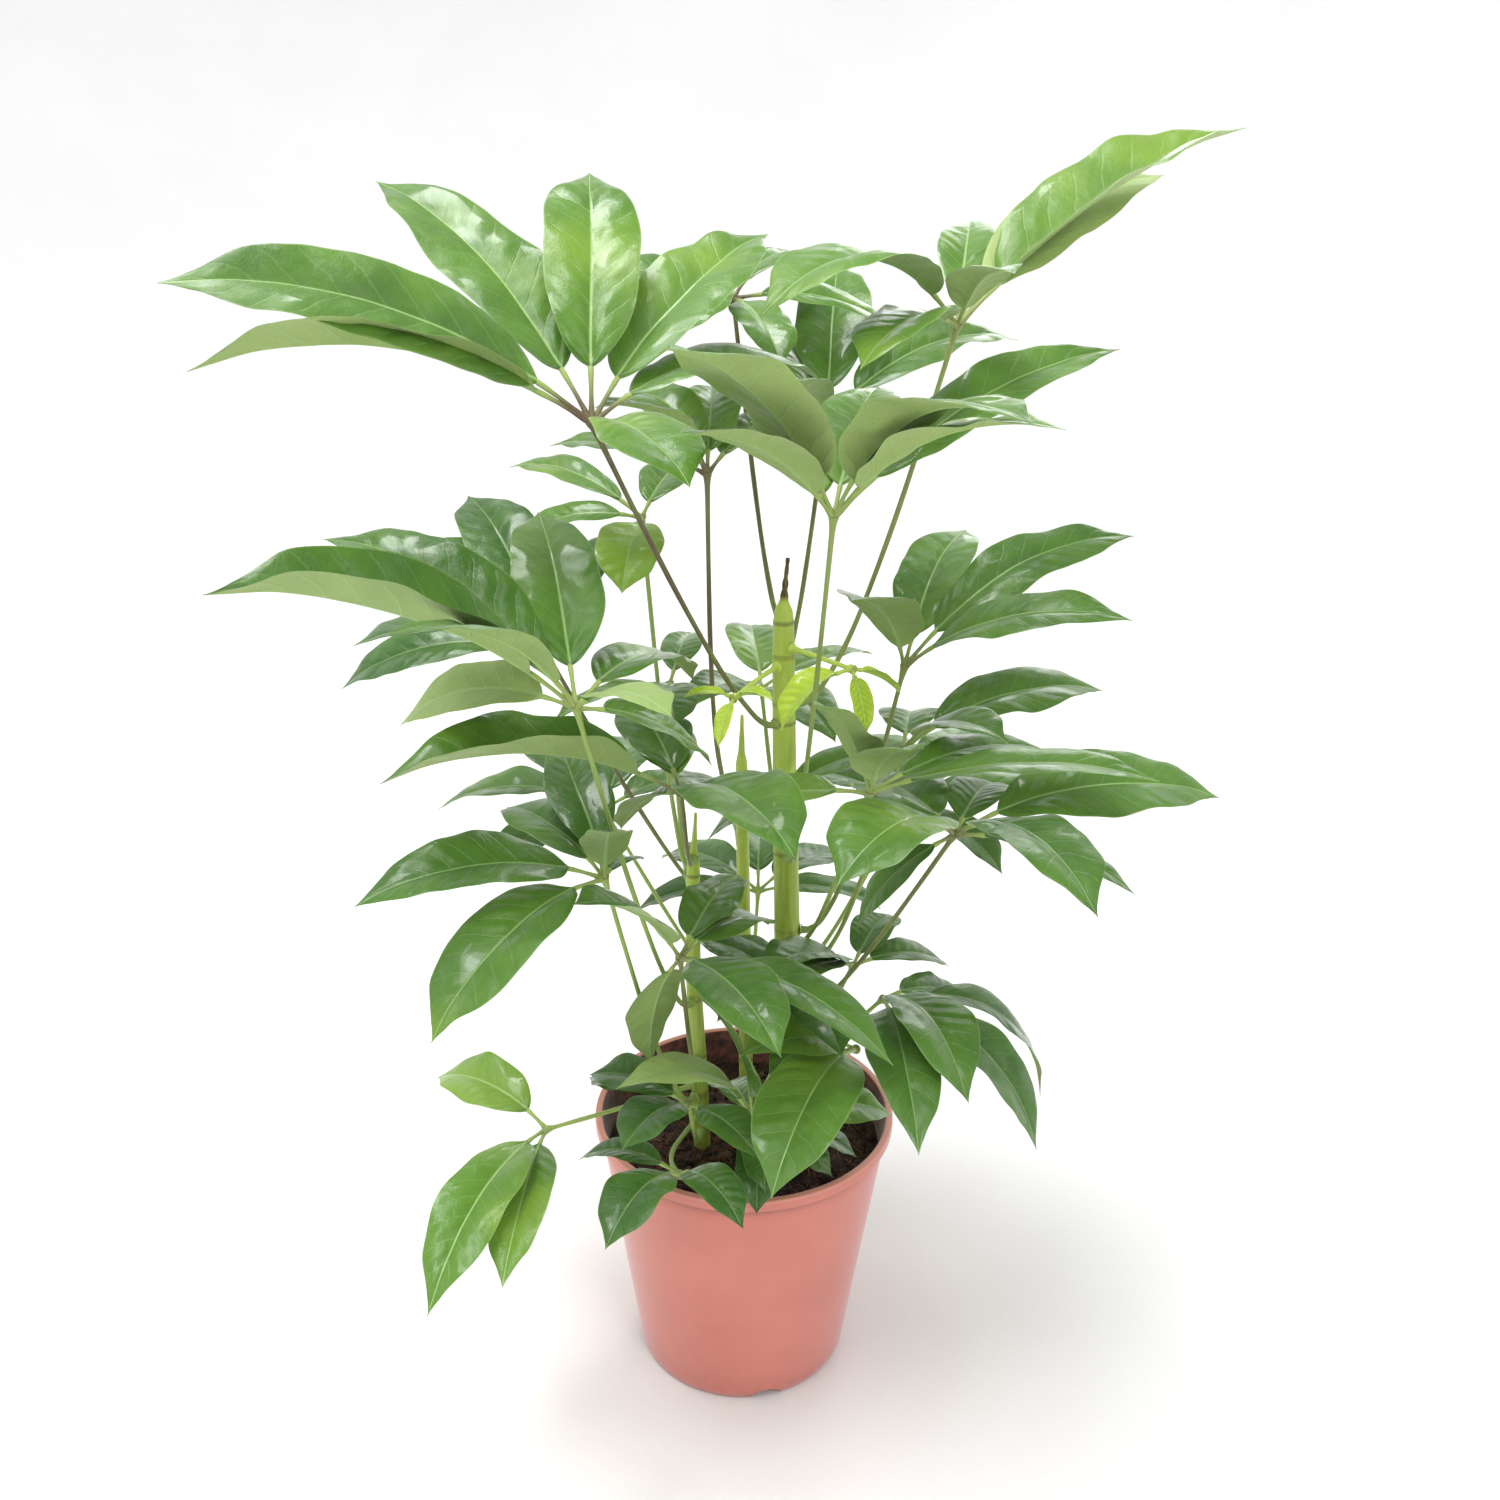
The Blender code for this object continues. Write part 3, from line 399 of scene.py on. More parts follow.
def petiole_line(leaf, side_bend, height_shift):
    """A cubic Bezier curve from the stem's surface to the hub, which starts square to the stem."""
    hub = np.array(leaf[2])
    centre, radius = stem_at(leaf[0], leaf[1] + height_shift)
    out = hub - centre
    out[2] = 0
    out = unit(out)
    aside = np.array((-out[1], out[0], 0))
    base = centre + out * (radius + 2 * GAP)
    start = base + out * PETIOLE_COLLAR
    reach = np.linalg.norm(hub - start)
    first = start + out * min(PETIOLE_OUTSET, 0.3 * reach)
    second = start + (hub - start) * 0.62 + out * 0.04 * reach + aside * side_bend
    t = PETIOLE_STATIONS[:, None]
    path = start * (1 - t) ** 3 + 3 * first * t * (1 - t) ** 2 + 3 * second * t**2 * (1 - t) + hub * t**3
    tangent = unit(hub - path[-1])
    return np.vstack([base, path, hub - tangent * 0.6 * HUB_RADIUS, hub, hub + tangent * 0.7 * HUB_RADIUS])


def petiole_radii():
    """The radius at each point of a petiole's line: flared at the stem, slim, and knobbed at the hub."""
    slim = [PETIOLE_RADIUS * share for share in (1.3, 1.1, 1, 1, 0.95, 0.95)]
    hub = [HUB_RADIUS * share for share in (0.8, 1, 0.7)]
    return np.array([PETIOLE_BASE_RADIUS, PETIOLE_BASE_RADIUS * 0.9, *slim, *hub])


def placed_petiole(leaf, points):
    """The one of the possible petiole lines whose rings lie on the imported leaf's own points, and its miss."""
    found = []
    for bend, shift in itertools.product(BENDS, SHIFTS):
        path = petiole_line(leaf, bend, shift)
        misses = np.abs(distances(path[3:8], points) - petiole_radii()[3:8])
        found.append((misses.mean(), path))
    return min(found, key=lambda option: option[0])


def chord_of(heading, lift):
    """The direction of the straight line from a hub to a leaflet's tip."""
    heading, lift = np.radians(heading), np.radians(lift)
    return np.stack([np.cos(lift) * np.cos(heading), np.cos(lift) * np.sin(heading), np.sin(lift)], axis=-1)


def placed_leaflets(leaf, points):
    """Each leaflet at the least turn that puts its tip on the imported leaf's own points."""
    turn, tilt = (grid.ravel() for grid in np.meshgrid(TURNS, TURNS, indexing="ij"))
    order = np.argsort(turn**2 + tilt**2, kind="stable")
    turn, tilt = turn[order], tilt[order]
    placed, missed = [], []
    for leaflet in leaf[3]:
        tips = np.array(leaf[2]) + chord_of(leaflet[0] + turn, leaflet[1] + tilt) * leaflet[2] / 1000
        gaps = distances(tips, points)
        best = int(np.argmax(gaps < MATCH)) if (gaps < MATCH).any() else int(np.argmin(gaps))
        placed.append((leaflet[0] + turn[best], leaflet[1] + tilt[best], *leaflet[2:]))
        missed.append(gaps[best])
    return placed, missed


@functools.lru_cache
def placed_leaf(name):
    """A leaf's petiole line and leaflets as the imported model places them."""
    leaf = {**LEAVES, **YOUNG_LEAVES}[name]
    points = node_points(name)
    miss, path = placed_petiole(leaf, points)
    leaflets, misses = placed_leaflets(leaf, points)
    if max(miss, *misses) > MATCH:
        raise RuntimeError(f"{name} doesn't match the packed model")
    return path, leaflets


def corner_step(points, quads):
    """1 where a shell's quads point outwards and -1 where they point inwards, by the sign of its volume."""
    a, b, c, d = (points[quads[:, k]] - points.mean(axis=0) for k in range(4))
    return -1 if (np.cross(a, b) * c).sum() + (np.cross(a, c) * d).sum() < 0 else 1


def linked(name, data):
    """An object that holds the data, linked to the scene."""
    made = bpy.data.objects.new(name, data)
    bpy.context.scene.collection.objects.link(made)
    return made


def finished(name, mesh, values, node, sharp):
    """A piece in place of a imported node: numbers by point, and smooth faces, sharp past an angle."""
    for key, value in values.items():
        carried = mesh.attributes.new(key, "FLOAT", "POINT")
        carried.data.foreach_set("value", value.ravel().astype(np.float32))
    mesh.shade_smooth()
    mesh.set_sharp_from_angle(angle=math.radians(sharp))
    if mesh.validate():
        raise RuntimeError(f"{name} has faulty faces")
    piece = linked(name, mesh)
    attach(piece, "root")
    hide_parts(node)
    return piece


def new_piece(name, grids, materials, node, sharp=55):
    """One object from closed grids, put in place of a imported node.

    A grid holds points (count, rings, around, 3), closed round each ring, with a flat face at both ends;
    slots, the material of each face; and values, numbers carried by the points, by name.
    """
    points, faces, starts, slots, first, corner = [], [], [], [], 0, 0
    values = {key: [] for key in sorted({key for grid in grids for key in grid["values"]})}
    for grid in grids:
        where = grid["points"]
        count, rings, sides = shape = where.shape[:3]
        index = first + np.arange(count * rings * sides).reshape(shape)
        after = np.roll(index, -1, axis=2)
        quads = np.stack([index[:, :-1], after[:, :-1], after[:, 1:], index[:, 1:]], axis=-1)
        step = corner_step(where[0].reshape(-1, 3), quads[0].reshape(-1, 4) - first)
        quads = quads.reshape(-1, 4)[:, ::step]
        caps = np.concatenate([index[:, 0, ::-1], index[:, -1]])[:, ::step]
        faces += [quads.ravel(), caps.ravel()]
        starts += [corner + 4 * np.arange(len(quads)), corner + quads.size + sides * np.arange(len(caps))]
        corner += quads.size + caps.size
        face_slots = np.broadcast_to(grid["slots"], (count, rings - 1, sides))
        cap_slots = (np.tile(face_slots[0, end, :1], count) for end in (0, -1))
        slots += [face_slots.ravel(), *cap_slots]
        points.append(where.reshape(-1, 3))
        for key, carried in values.items():
            carried.append(np.broadcast_to(grid["values"].get(key, 0.0), shape).ravel())
        first += index.size
    mesh = bpy.data.meshes.new(name)
    mesh.vertices.add(first)
    mesh.vertices.foreach_set("co", np.concatenate(points).ravel().astype(np.float32))
    mesh.loops.add(corner)
    mesh.loops.foreach_set("vertex_index", np.concatenate(faces).astype(np.int32))
    starts = np.concatenate(starts).astype(np.int32)
    mesh.polygons.add(len(starts))
    mesh.polygons.foreach_set("loop_start", starts)
    for material in materials:
        mesh.materials.append(material)
    mesh.polygons.foreach_set("material_index", np.concatenate(slots).astype(np.int32))
    mesh.update(calc_edges=True)
    values = {key: np.concatenate(carried) for key, carried in values.items()}
    return finished(name, mesh, values, node, sharp)


def tube_grid(path, radii, sides, reference, slot=0, **values):
    """A round profile carried along a path: centre + radius (cos a across + sin a other) for each angle a.

    `across` is the reference direction made square to the path, and `other` is square to both.
    """
    tangent = unit(np.gradient(path, axis=0))
    across = unit(reference - tangent * (tangent @ reference)[:, None])
    other = np.cross(tangent, across)
    angle = headings(sides)[None, :, None]
    ring = np.cos(angle) * across[:, None] + np.sin(angle) * other[:, None]
    radii = radii if radii.ndim == 2 else radii[:, None]
    points = path[:, None] + radii[..., None] * ring
    carried = {key: (value if np.ndim(value) == 2 else value[:, None])[None] for key, value in values.items()}
    return {"points": points[None], "slots": slot, "values": carried}


def leaflet_frames(hub, leaflet, s):
    """Midrib points, side and face directions, and half widths at shares s of the length.

    The midrib is the straight line to the tip plus a parabola, 4 arch s (1 - s), across it. The half width
    is t^a (1 - t)^b, scaled to reach half the width, where t runs from the end of the stalk to the tip.
    """
    heading, lift, roll = (math.radians(leaflet[k]) for k in (0, 1, 5))
    length, width, arch = leaflet[2] / 1000, leaflet[3] / 1000, leaflet[4] / 100
    s = s[:, None]
    chord = chord_of(leaflet[0], leaflet[1])
    above = (-math.sin(lift) * math.cos(heading), -math.sin(lift) * math.sin(heading), math.cos(lift))
    above = np.array(above)
    midrib = hub + length * (s * chord + 4 * arch * s * (1 - s) * above)
    tangent = unit(chord + 4 * arch * (1 - 2 * s) * above)
    side = math.cos(roll) * np.cross(chord, above) - math.sin(roll) * above
    side = unit(side - tangent * (tangent @ side)[:, None])
    t = np.clip((s[:, 0] - STALK_SHARE) / (1 - STALK_SHARE), 0, 1)
    peak = WIDEST_RISE / (WIDEST_RISE + TIP_FALL)
    top = peak**WIDEST_RISE * (1 - peak) ** TIP_FALL
    return midrib, side, np.cross(side, tangent), width / 2 * t**WIDEST_RISE * (1 - t) ** TIP_FALL / top, t


def shaped_frames(hub, leaflet, s, rng):
    """A leaflet's frames with a habit of their own.

    It twists by up to TWIST as sin(pi t), its midrib bows sideways as sin^2(pi t), its outline is fuller or
    slimmer beyond the middle, and from t = 0.78 on it narrows to a drip tip that ends in a point.
    """
    middle, side, face, half, t = leaflet_frames(hub, leaflet, s)
    twist = np.radians(rng.uniform(-TWIST, TWIST)) * np.sin(math.pi * t)[:, None]
    side, face = side * np.cos(twist) + face * np.sin(twist), face * np.cos(twist) - side * np.sin(twist)
    bow = leaflet[2] / 1000 * rng.uniform(-BOW, BOW) * np.sin(math.pi * t) ** 2
    half = half * (1 + rng.uniform(*FULLER) * (eased(t, 0.35, 0.80) - 0.35) * 1.2)
    half = half * (1 - DRIP_TIP * eased(t, 0.78, 0.96)) * np.sqrt(np.clip((1 - t) / POINT_SHARE, 0, 1))
    return middle + side * bow[:, None], side, face, half, t


def blade_height(t, half, length, fold, look, rng):
    """How high each point of the blade stands over its midrib, and how its outline wavers.

    Across the blade, u runs from -1 to 1. The height is the sum of a fold, which is |u| rounded at the
    midrib, a swell sin(pi |u|), a wave |u|^2.4 sin(k t) at the margins, and a quilting between the side
    veins, 1 - cos(2 pi pairs (t - slant |u|)), less a droop of the tip.
    """
    u, far, t, spread = ACROSS, np.abs(ACROSS), t[:, None], half[:, None]
    half_side, right = np.sign(u), u > 0
    drift = rng.uniform(0, 2 * math.pi, 6)
    waver = np.sin(t * 15 + drift[0] + half_side * 1.3) + np.sin(t * 7 + drift[4] + half_side * 2.1)
    ends = np.sin(math.pi * np.clip(t, 0.02, 0.98)) ** 0.7
    folded = fold * spread * (np.sqrt(far**2 + MIDRIB_ROUND**2) - MIDRIB_ROUND)
    folded = folded * (1 + 0.25 * np.sin(3 * t + drift[1]))
    swell = look.swell * spread * np.sin(math.pi * far) * (1 - 0.4 * t)
    rate = rng.uniform(7, 13)
    lively = look.wave * rng.uniform(0.5, 1.6) * spread / BROAD_HALF * far**MARGIN_POWER * ends
    wave = lively * (np.sin(rate * t + drift[2] + right * drift[3])
                     + 0.4 * np.sin(2.3 * rate * t + drift[3] + right * drift[0]))
    cells = 0.5 - 0.5 * np.cos(2 * math.pi * VEIN_PAIRS * (t - VEIN_SLANT * far * (1 - 0.35 * t)))
    uneven = 0.55 + 0.45 * np.sin(t * 5.3 + drift[5] + half_side * 1.7)
    quilt = look.quilting * cells * np.sin(math.pi * far**0.8) * ends * uneven
    droop = DROOP * length * eased(t, 0.80, 1) * (1 + far * np.clip(spread / FULL_HALF, 0, 1))
    return folded + swell + wave + quilt - droop, 1 + RAGGED * waver * far


def leaflet_grid(hub, leaflet, seed, tone, tint, look, fold=FOLD, turned=False):
    """One leaflet as a closed grid: rings along it, each once round the blade from edge to edge and back.

    The underside lies a blade's thickness below the upper side, with the midrib standing proud of it as
    exp(-(distance / width)^2). Before the blade begins, the ring is a round stalk, swollen at both its ends.
    A turned leaflet hangs with its pale side up.
    """
    rng = np.random.default_rng(seed)
    k = np.linspace(0, 1, look.stations)
    k = 0.45 * k + 0.55 * (0.5 - 0.5 * np.cos(math.pi * k))
    s = np.concatenate([np.linspace(0.006, STALK_SHARE, 9)[:-1], STALK_SHARE + (1 - STALK_SHARE) * k])
    middle, side, face, half, t = shaped_frames(hub, leaflet, s, rng)
    rise, ragged = blade_height(t, half, leaflet[2] / 1000, fold, look, rng)
    s, t, spread, u, far = s[:, None], t[:, None], half[:, None], ACROSS, np.abs(ACROSS)
    thick = look.thickness / 2 * (1 - 0.5 * far**2) * np.clip(spread / THIN_HALF, 0.35, 1) * (far < 1)
    rib_width = RIB_WIDTH * (1 - 0.65 * t) + 0.0002
    rib = look.rib_height * (1 - 0.75 * t) * np.exp(-((u * spread / rib_width) ** 2))
    swollen = 0.0007 * np.exp(-(((s - 0.02) / 0.03) ** 2)) + 0.0005 * np.exp(-(((s - 0.15) / 0.03) ** 2))
    stalk = np.maximum((STALK_RADIUS + swollen) * (1 - eased(s, 0.8, 1) * 0.7), 0.0004)
    blend = eased(s, STALK_SHARE - 0.01, STALK_SHARE + 0.05)
    wide = np.maximum(spread * ragged, stalk * (1 - 0.6 * blend))
    round_height = (1 - blend) * stalk * np.sqrt(np.clip(1 - u**2, 0, 1))
    upper = round_height + blend * (rise + thick - GROOVE * rib)
    lower = -round_height + blend * (rise - thick - rib)
    loop = np.concatenate([np.arange(len(u)), np.arange(len(u) - 2, 0, -1)])
    height = np.concatenate([upper, lower[:, -2:0:-1]], axis=1)
    sideways = (wide * u)[:, loop]
    points = middle[:, None] + sideways[..., None] * side[:, None]
    pucker = waves(points, BROAD_PUCKER, seed + 1) + 0.40 * waves(points, FINE_PUCKER, seed + 2)
    height = height + look.pucker * pucker * blend * np.clip(np.abs(sideways) / FULL_HALF, 0.25, 1)
    points = points + height[..., None] * face[:, None]
    on_top = ((np.arange(len(loop)) < len(u) - 1) != turned)[None, :]
    blade_slots = np.where(on_top, FACES["top"], FACES["under"])
    values = {
        "along": t, "across": u[loop][None, :], "offset": np.abs(sideways),
        "tone": np.full((1, 1), tone + rng.uniform(-0.20, 0.20)), "seed": np.full((1, 1), rng.uniform(0, 1)),
        "tint": tint * (1 - eased(s, 0.05, 0.17)),
    }
    return {
        "points": points[None], "slots": np.where(s[:-1] < STALK_SHARE - 0.004, FACES["stalk"], blade_slots),
        "values": {key: value[None] for key, value in values.items()},
    }


def petiole_grid(path, tint, seed, tone):
    """A leaf stalk: a tube on a Catmull-Rom curve, flared at the stem and knobbed at the hub."""
    fine, radii = smooth_route(path, petiole_radii(), 7)
    share = np.linspace(0, 1, len(fine))
    out = path[-1] - path[0]
    aside = unit(np.array((-out[1], out[0], 0.0)))
    slim = 1 - PETIOLE_SLIMMED * eased(share, 0.01, 0.08) * (1 - eased(share, 0.90, 0.97))
    radii = radii * slim * (1 + 0.05 * np.sin(share * 40 + seed))
    radii[-1] *= 0.6
    brown = np.clip(tint * (0.35 + 0.65 * eased(share, 0.05, 0.6)) + 0.6 * eased(share, 0.94, 1), 0, 1)
    tones = np.full(len(fine), tone)
    return tube_grid(fine, radii, 12, aside, FACES["stalk"], tint=brown, tone=tones, along=share)


def leaf_grids(name, hub, look, tone, tint, fold=FOLD):
    """A whole leaf: its petiole and its leaflets, each with its own seed, fold and lightness."""
    path, leaflets = placed_leaf(name)
    seed = sum(ord(letter) * (place + 1) for place, letter in enumerate(name))
    grids = [petiole_grid(path, tint, seed, tone)]
    for number, leaflet in enumerate(leaflets):
        key = (name, number)
        roll, own_fold = FOLDED_LEAFLETS.get(key, (leaflet[5], fold))
        grids.append(leaflet_grid(
            np.array(hub), (*leaflet[:5], roll), seed * 31 + number, tone + BRIGHT_LEAFLETS.get(key, 0),
            max(tint, 0.25), look, own_fold, key in TURNED_LEAFLETS,
        ))
    return grids


def stem_grid(name):
    """A stem: a tube with a low ring at every leaf's scar, fluted a little, that ends in a bud.

    The main stem's bud is a dry, crumpled spike. The flutes are sin(5a) and sin(9a) round the stem.
    """
    path, radii = smooth_route(*STEMS[name], STEM_STEPS)
    height, angle = path[:, 2:], headings(STEM_SIDES)
    scars = np.array([leaf[1] for leaf in LEAVES.values() if leaf[0] == name])
    rings = np.exp(-(((height - scars) / SCAR_HEIGHT) ** 2)).max(axis=1)[:, None]
    flutes = 0.018 * np.sin(5 * angle + 2.0) + 0.012 * np.sin(9 * angle + 20 * height)
    top, bud = height[-1, 0], height[-1, 0] - BUD_LENGTH
    spike = eased(height, bud - 0.006, bud) * (name == "main")
    neck = 1 - BUD_NARROWED * eased(height, bud - 0.014, bud) * (1 - eased(height, top - 0.010, top))
    shape = radii[:, None] * (1 + 0.05 * rings + flutes) * neck
    shape = shape * (1 + 0.16 * spike * np.sin(2 * angle + 700 * height))
    along = (height - SOIL_TOP) / (top - SOIL_TOP)
    return tube_grid(path, shape, STEM_SIDES, STEM_FRONT, scar=rings, spike=spike, along=along)


def wall_radius(height):
    """The radius of the pot's outer wall at a height."""
    return FOOT_RADIUS + (WALL_TOP_RADIUS - FOOT_RADIUS) * np.asarray(height) / POT_HEIGHT


def line(radius, height):
    """Points of a (radius, height) profile from arrays, or from an array and one number."""
    return np.column_stack(np.broadcast_arrays(radius, height))


def arc(centre, radius, start, end, steps):
    """Points of a circular arc in a (radius, height) profile, angles in degrees."""
    return np.array(centre) + radius * circle(np.radians(np.linspace(start, end, steps)))


def pot_grid(sides):
    """The pot: one profile carried round the Z axis, whose foot ring is lifted in low arches.

    The profile runs from the centre hole under the floor, down the inside of the foot ring, up the outer
    wall, over the lip and down inside. The arch over heading a is NOTCH_HEIGHT sqrt(1 - x^2), where x is
    the distance along the foot from the notch's middle over half its width.
    """
    floor_top = FLOOR_HEIGHT + FLOOR_THICKNESS
    lip_bottom = POT_HEIGHT - LIP_DEPTH
    lip_inner = RIM_RADIUS - LIP_WIDTH
    foot_outer = FOOT_RADIUS - FOOT_ROUND
    foot_inner = foot_outer - WALL
    wall = np.linspace(FOOT_ROUND, lip_bottom - 0.0012, 44)
    inner = np.linspace(POT_HEIGHT - 0.0008, floor_top + 0.003, 34)
    lip = np.linspace(0, 1, 5)
    step_in = LIP_STEP * eased(wall, lip_bottom - 0.010, lip_bottom - 0.004)
    under = np.vstack([
        line(np.linspace(CENTRE_HOLE_RADIUS, foot_inner - 0.001, 12), FLOOR_HEIGHT),
        line(foot_inner, np.linspace(FLOOR_HEIGHT - 0.0008, 0.0006, 6)),
        [(foot_inner + 0.0005, 0), (foot_outer - 0.0003, 0)],
    ])
    inside = np.vstack([
        line(wall_radius(inner) - WALL, inner),
        [(wall_radius(floor_top) - WALL - 0.003, floor_top), (CENTRE_HOLE_RADIUS, floor_top)],
    ])
    profile = np.vstack([
        under,
        arc((foot_outer, FOOT_ROUND), FOOT_ROUND, -80, -8, 8),
        line(wall_radius(wall) - step_in, wall),
        [(wall_radius(lip_bottom) - 0.0008, lip_bottom - 0.0002)],
        arc((RIM_RADIUS - LIP_ROUND, lip_bottom + LIP_ROUND), LIP_ROUND, -80, 0, 6),
        line(RIM_RADIUS + 0.0002 * np.sin(math.pi * lip), lip_bottom + 0.002 + (LIP_DEPTH - 0.0042) * lip),
        arc((RIM_RADIUS - LIP_TOP_ROUND, POT_HEIGHT - LIP_TOP_ROUND), LIP_TOP_ROUND, 5, 85, 7),
        arc((lip_inner + LIP_INNER_ROUND, POT_HEIGHT - LIP_INNER_ROUND), LIP_INNER_ROUND, 95, 170, 5),
        inside,
    ])
    count = len(profile)
    place = np.arange(count)[:, None]
    angle = headings(sides)
    radius, height = (np.repeat(profile[:, k : k + 1], sides, axis=1) for k in (0, 1))
    spacing = 2 * math.pi / NOTCH_COUNT
    nearest = (angle - math.radians(NOTCH_HEADING) + spacing / 2) % spacing - spacing / 2
    reach = np.clip(1 - (nearest * FOOT_RADIUS / (NOTCH_WIDTH / 2)) ** 2, 0, 1)
    arch = NOTCH_HEIGHT * np.sqrt(reach)
    low = (height < arch) & (radius > foot_inner - 0.0005)
    outer = low & (radius > foot_inner + 0.0015) & (place > len(under))
    height = np.where(low, arch, height)
    radius = np.where(outer, wall_radius(height), radius)
    lined = np.broadcast_to(place > count - len(inside) - 2, (count, sides))
    return around(radius, height, angle).transpose(1, 0, 2), lined.T.astype(float)


def make_lathe(name, points, values, material, node):
    """A ring-shaped piece: a closed profile at each heading, and the last heading joined to the first."""
    index = np.arange(points.size // 3).reshape(points.shape[:2])
    after, up = np.roll(index, -1, axis=0), np.roll(index, -1, axis=1)
    quads = np.stack([index, after, np.roll(after, -1, axis=1), up], axis=-1).reshape(-1, 4)
    shell = points.reshape(-1, 3)
    mesh = bpy.data.meshes.new(name)
    mesh.from_pydata(shell.tolist(), [], quads[:, :: corner_step(shell, quads)].tolist())
    mesh.materials.append(material)
    return finished(name, mesh, values, node, 50)


def drill_drain_holes(pot):
    """Cuts the floor's drain holes with round cutters, and applies the cut."""
    holes = DRAIN_CIRCLE_RADIUS * circle(headings(DRAIN_HOLE_COUNT))[:, None, None]
    flat = holes + DRAIN_HOLE_RADIUS * circle(headings(24))
    level = np.array((FLOOR_HEIGHT - CUT_DEPTH, FLOOR_HEIGHT + FLOOR_THICKNESS + CUT_DEPTH))[:, None]
    points = np.empty((len(holes), 2, 24, 3))
    points[..., :2], points[..., 2] = flat, level
    index = np.arange(points.size // 3).reshape(points.shape[:3])
    after = np.roll(index, -1, axis=2)
    quads = np.stack([index[:, 0], after[:, 0], after[:, 1], index[:, 1]], axis=-1).reshape(-1, 4)
    caps = [*index[:, 0, ::-1].tolist(), *index[:, 1].tolist()]
    mesh = bpy.data.meshes.new("drain_cutter")
    mesh.from_pydata(points.reshape(-1, 3).tolist(), [], quads.tolist() + caps)
    cutter = linked("drain_cutter", mesh)
    cut = pot.modifiers.new("Drain holes", "BOOLEAN")
    cut.operation, cut.solver, cut.object = "DIFFERENCE", "EXACT", cutter
    graph = bpy.context.evaluated_depsgraph_get()
    holed = bpy.data.meshes.new_from_object(pot.evaluated_get(graph), depsgraph=graph)
    pot.modifiers.clear()
    old, pot.data = pot.data, holed
    bpy.data.meshes.remove(old)
    bpy.data.objects.remove(cutter)
    bpy.data.meshes.remove(mesh)
    pot.data.name = "pot_shell"


def soil_surface(sides):
    """The root ball: a closed profile carried round the Z axis, up the side and in over the lumpy top."""
    bottom = FLOOR_HEIGHT + FLOOR_THICKNESS + GAP
    side = np.linspace(bottom, SOIL_TOP - 0.006, 8)
    share = np.concatenate([np.linspace(1, 0, 78)[:-1], [0.002]])
    profile = np.vstack([
        line((0.0002, float(wall_radius(bottom)) - WALL - GAP - 0.002), bottom),
        line(wall_radius(side) - WALL - GAP - 0.0002, side),
        line(soil_edge(GAP) * share, mound(share)),
    ])
    points = around(profile[:, :1], profile[:, 1:], headings(sides))
    points[-len(share):, :, 2] = top_of_soil(points[-len(share):, :, :2])
    return points


def soil_edge(margin):
    """The radius at the soil's top, a margin in from the inside of the pot's wall."""
    return float(wall_radius(SOIL_TOP)) - WALL - margin


def mound(share):
    """The soil's height without its lumps at a share of the way from the middle to the wall."""
    return SOIL_TOP - SOIL_RIM_DIP + (SOIL_MOUND + SOIL_RIM_DIP) * (1 - share**2)


def top_of_soil(flat):
    """The soil's height at places (x, y): a low mound plus three sizes of lumps, halved near the wall."""
    share = np.linalg.norm(flat, axis=-1) / soil_edge(GAP)
    points = np.concatenate([flat, mound(share)[..., None]], axis=-1)
    rough = sum(height * waves(points, size, seed) for height, size, seed in SOIL_LUMPS)
    return mound(share) + np.clip(0.001 * rough, *LUMP_LIMITS) * (1 - 0.5 * eased(share, 0.93, 1))


def strewn(rng, count, edge):
    """Random places (x, y) spread evenly over the soil out to an edge."""
    reach = edge * np.sqrt(rng.uniform(0, 1, count))
    return reach[:, None] * circle(rng.uniform(0, 2 * math.pi, count))


def crumb_grid(count, seed):
    """Crumbs of peat and bark on the soil: spheres of five rings of eight points, each stretched by its own
    three sizes and pushed in and out point by point."""
    rng = np.random.default_rng(seed)
    flat = strewn(rng, count, soil_edge(0.004))
    size = 0.0010 + 0.0034 * rng.uniform(0, 1, count) ** 3
    polar = np.radians((12, 50, 90, 130, 168))[:, None]
    ball = around(np.sin(polar), np.cos(polar), headings(8))
    ball = ball * rng.uniform(0.78, 1.22, (count, 5, 8, 1)) * rng.uniform(0.6, 1.3, (count, 1, 1, 3))
    spin = rng.uniform(0, 2 * math.pi, (count, 1, 1))
    x, y, z = np.moveaxis(ball, -1, 0)
    cos, sin = np.cos(spin), np.sin(spin)
    ball = np.stack([x * cos - y * sin, x * sin + y * cos, z], axis=-1)
    centre = np.concatenate([flat, (top_of_soil(flat) + size * 0.25)[:, None]], axis=-1)
    values = {"shade": rng.uniform(0, 1, (count, 1, 1))}
    values["bark"] = (rng.uniform(0, 1, (count, 1, 1)) < BARK_SHARE) * 1.0
    return {"points": centre[:, None, None] + ball * size[:, None, None, None], "slots": 0, "values": values}


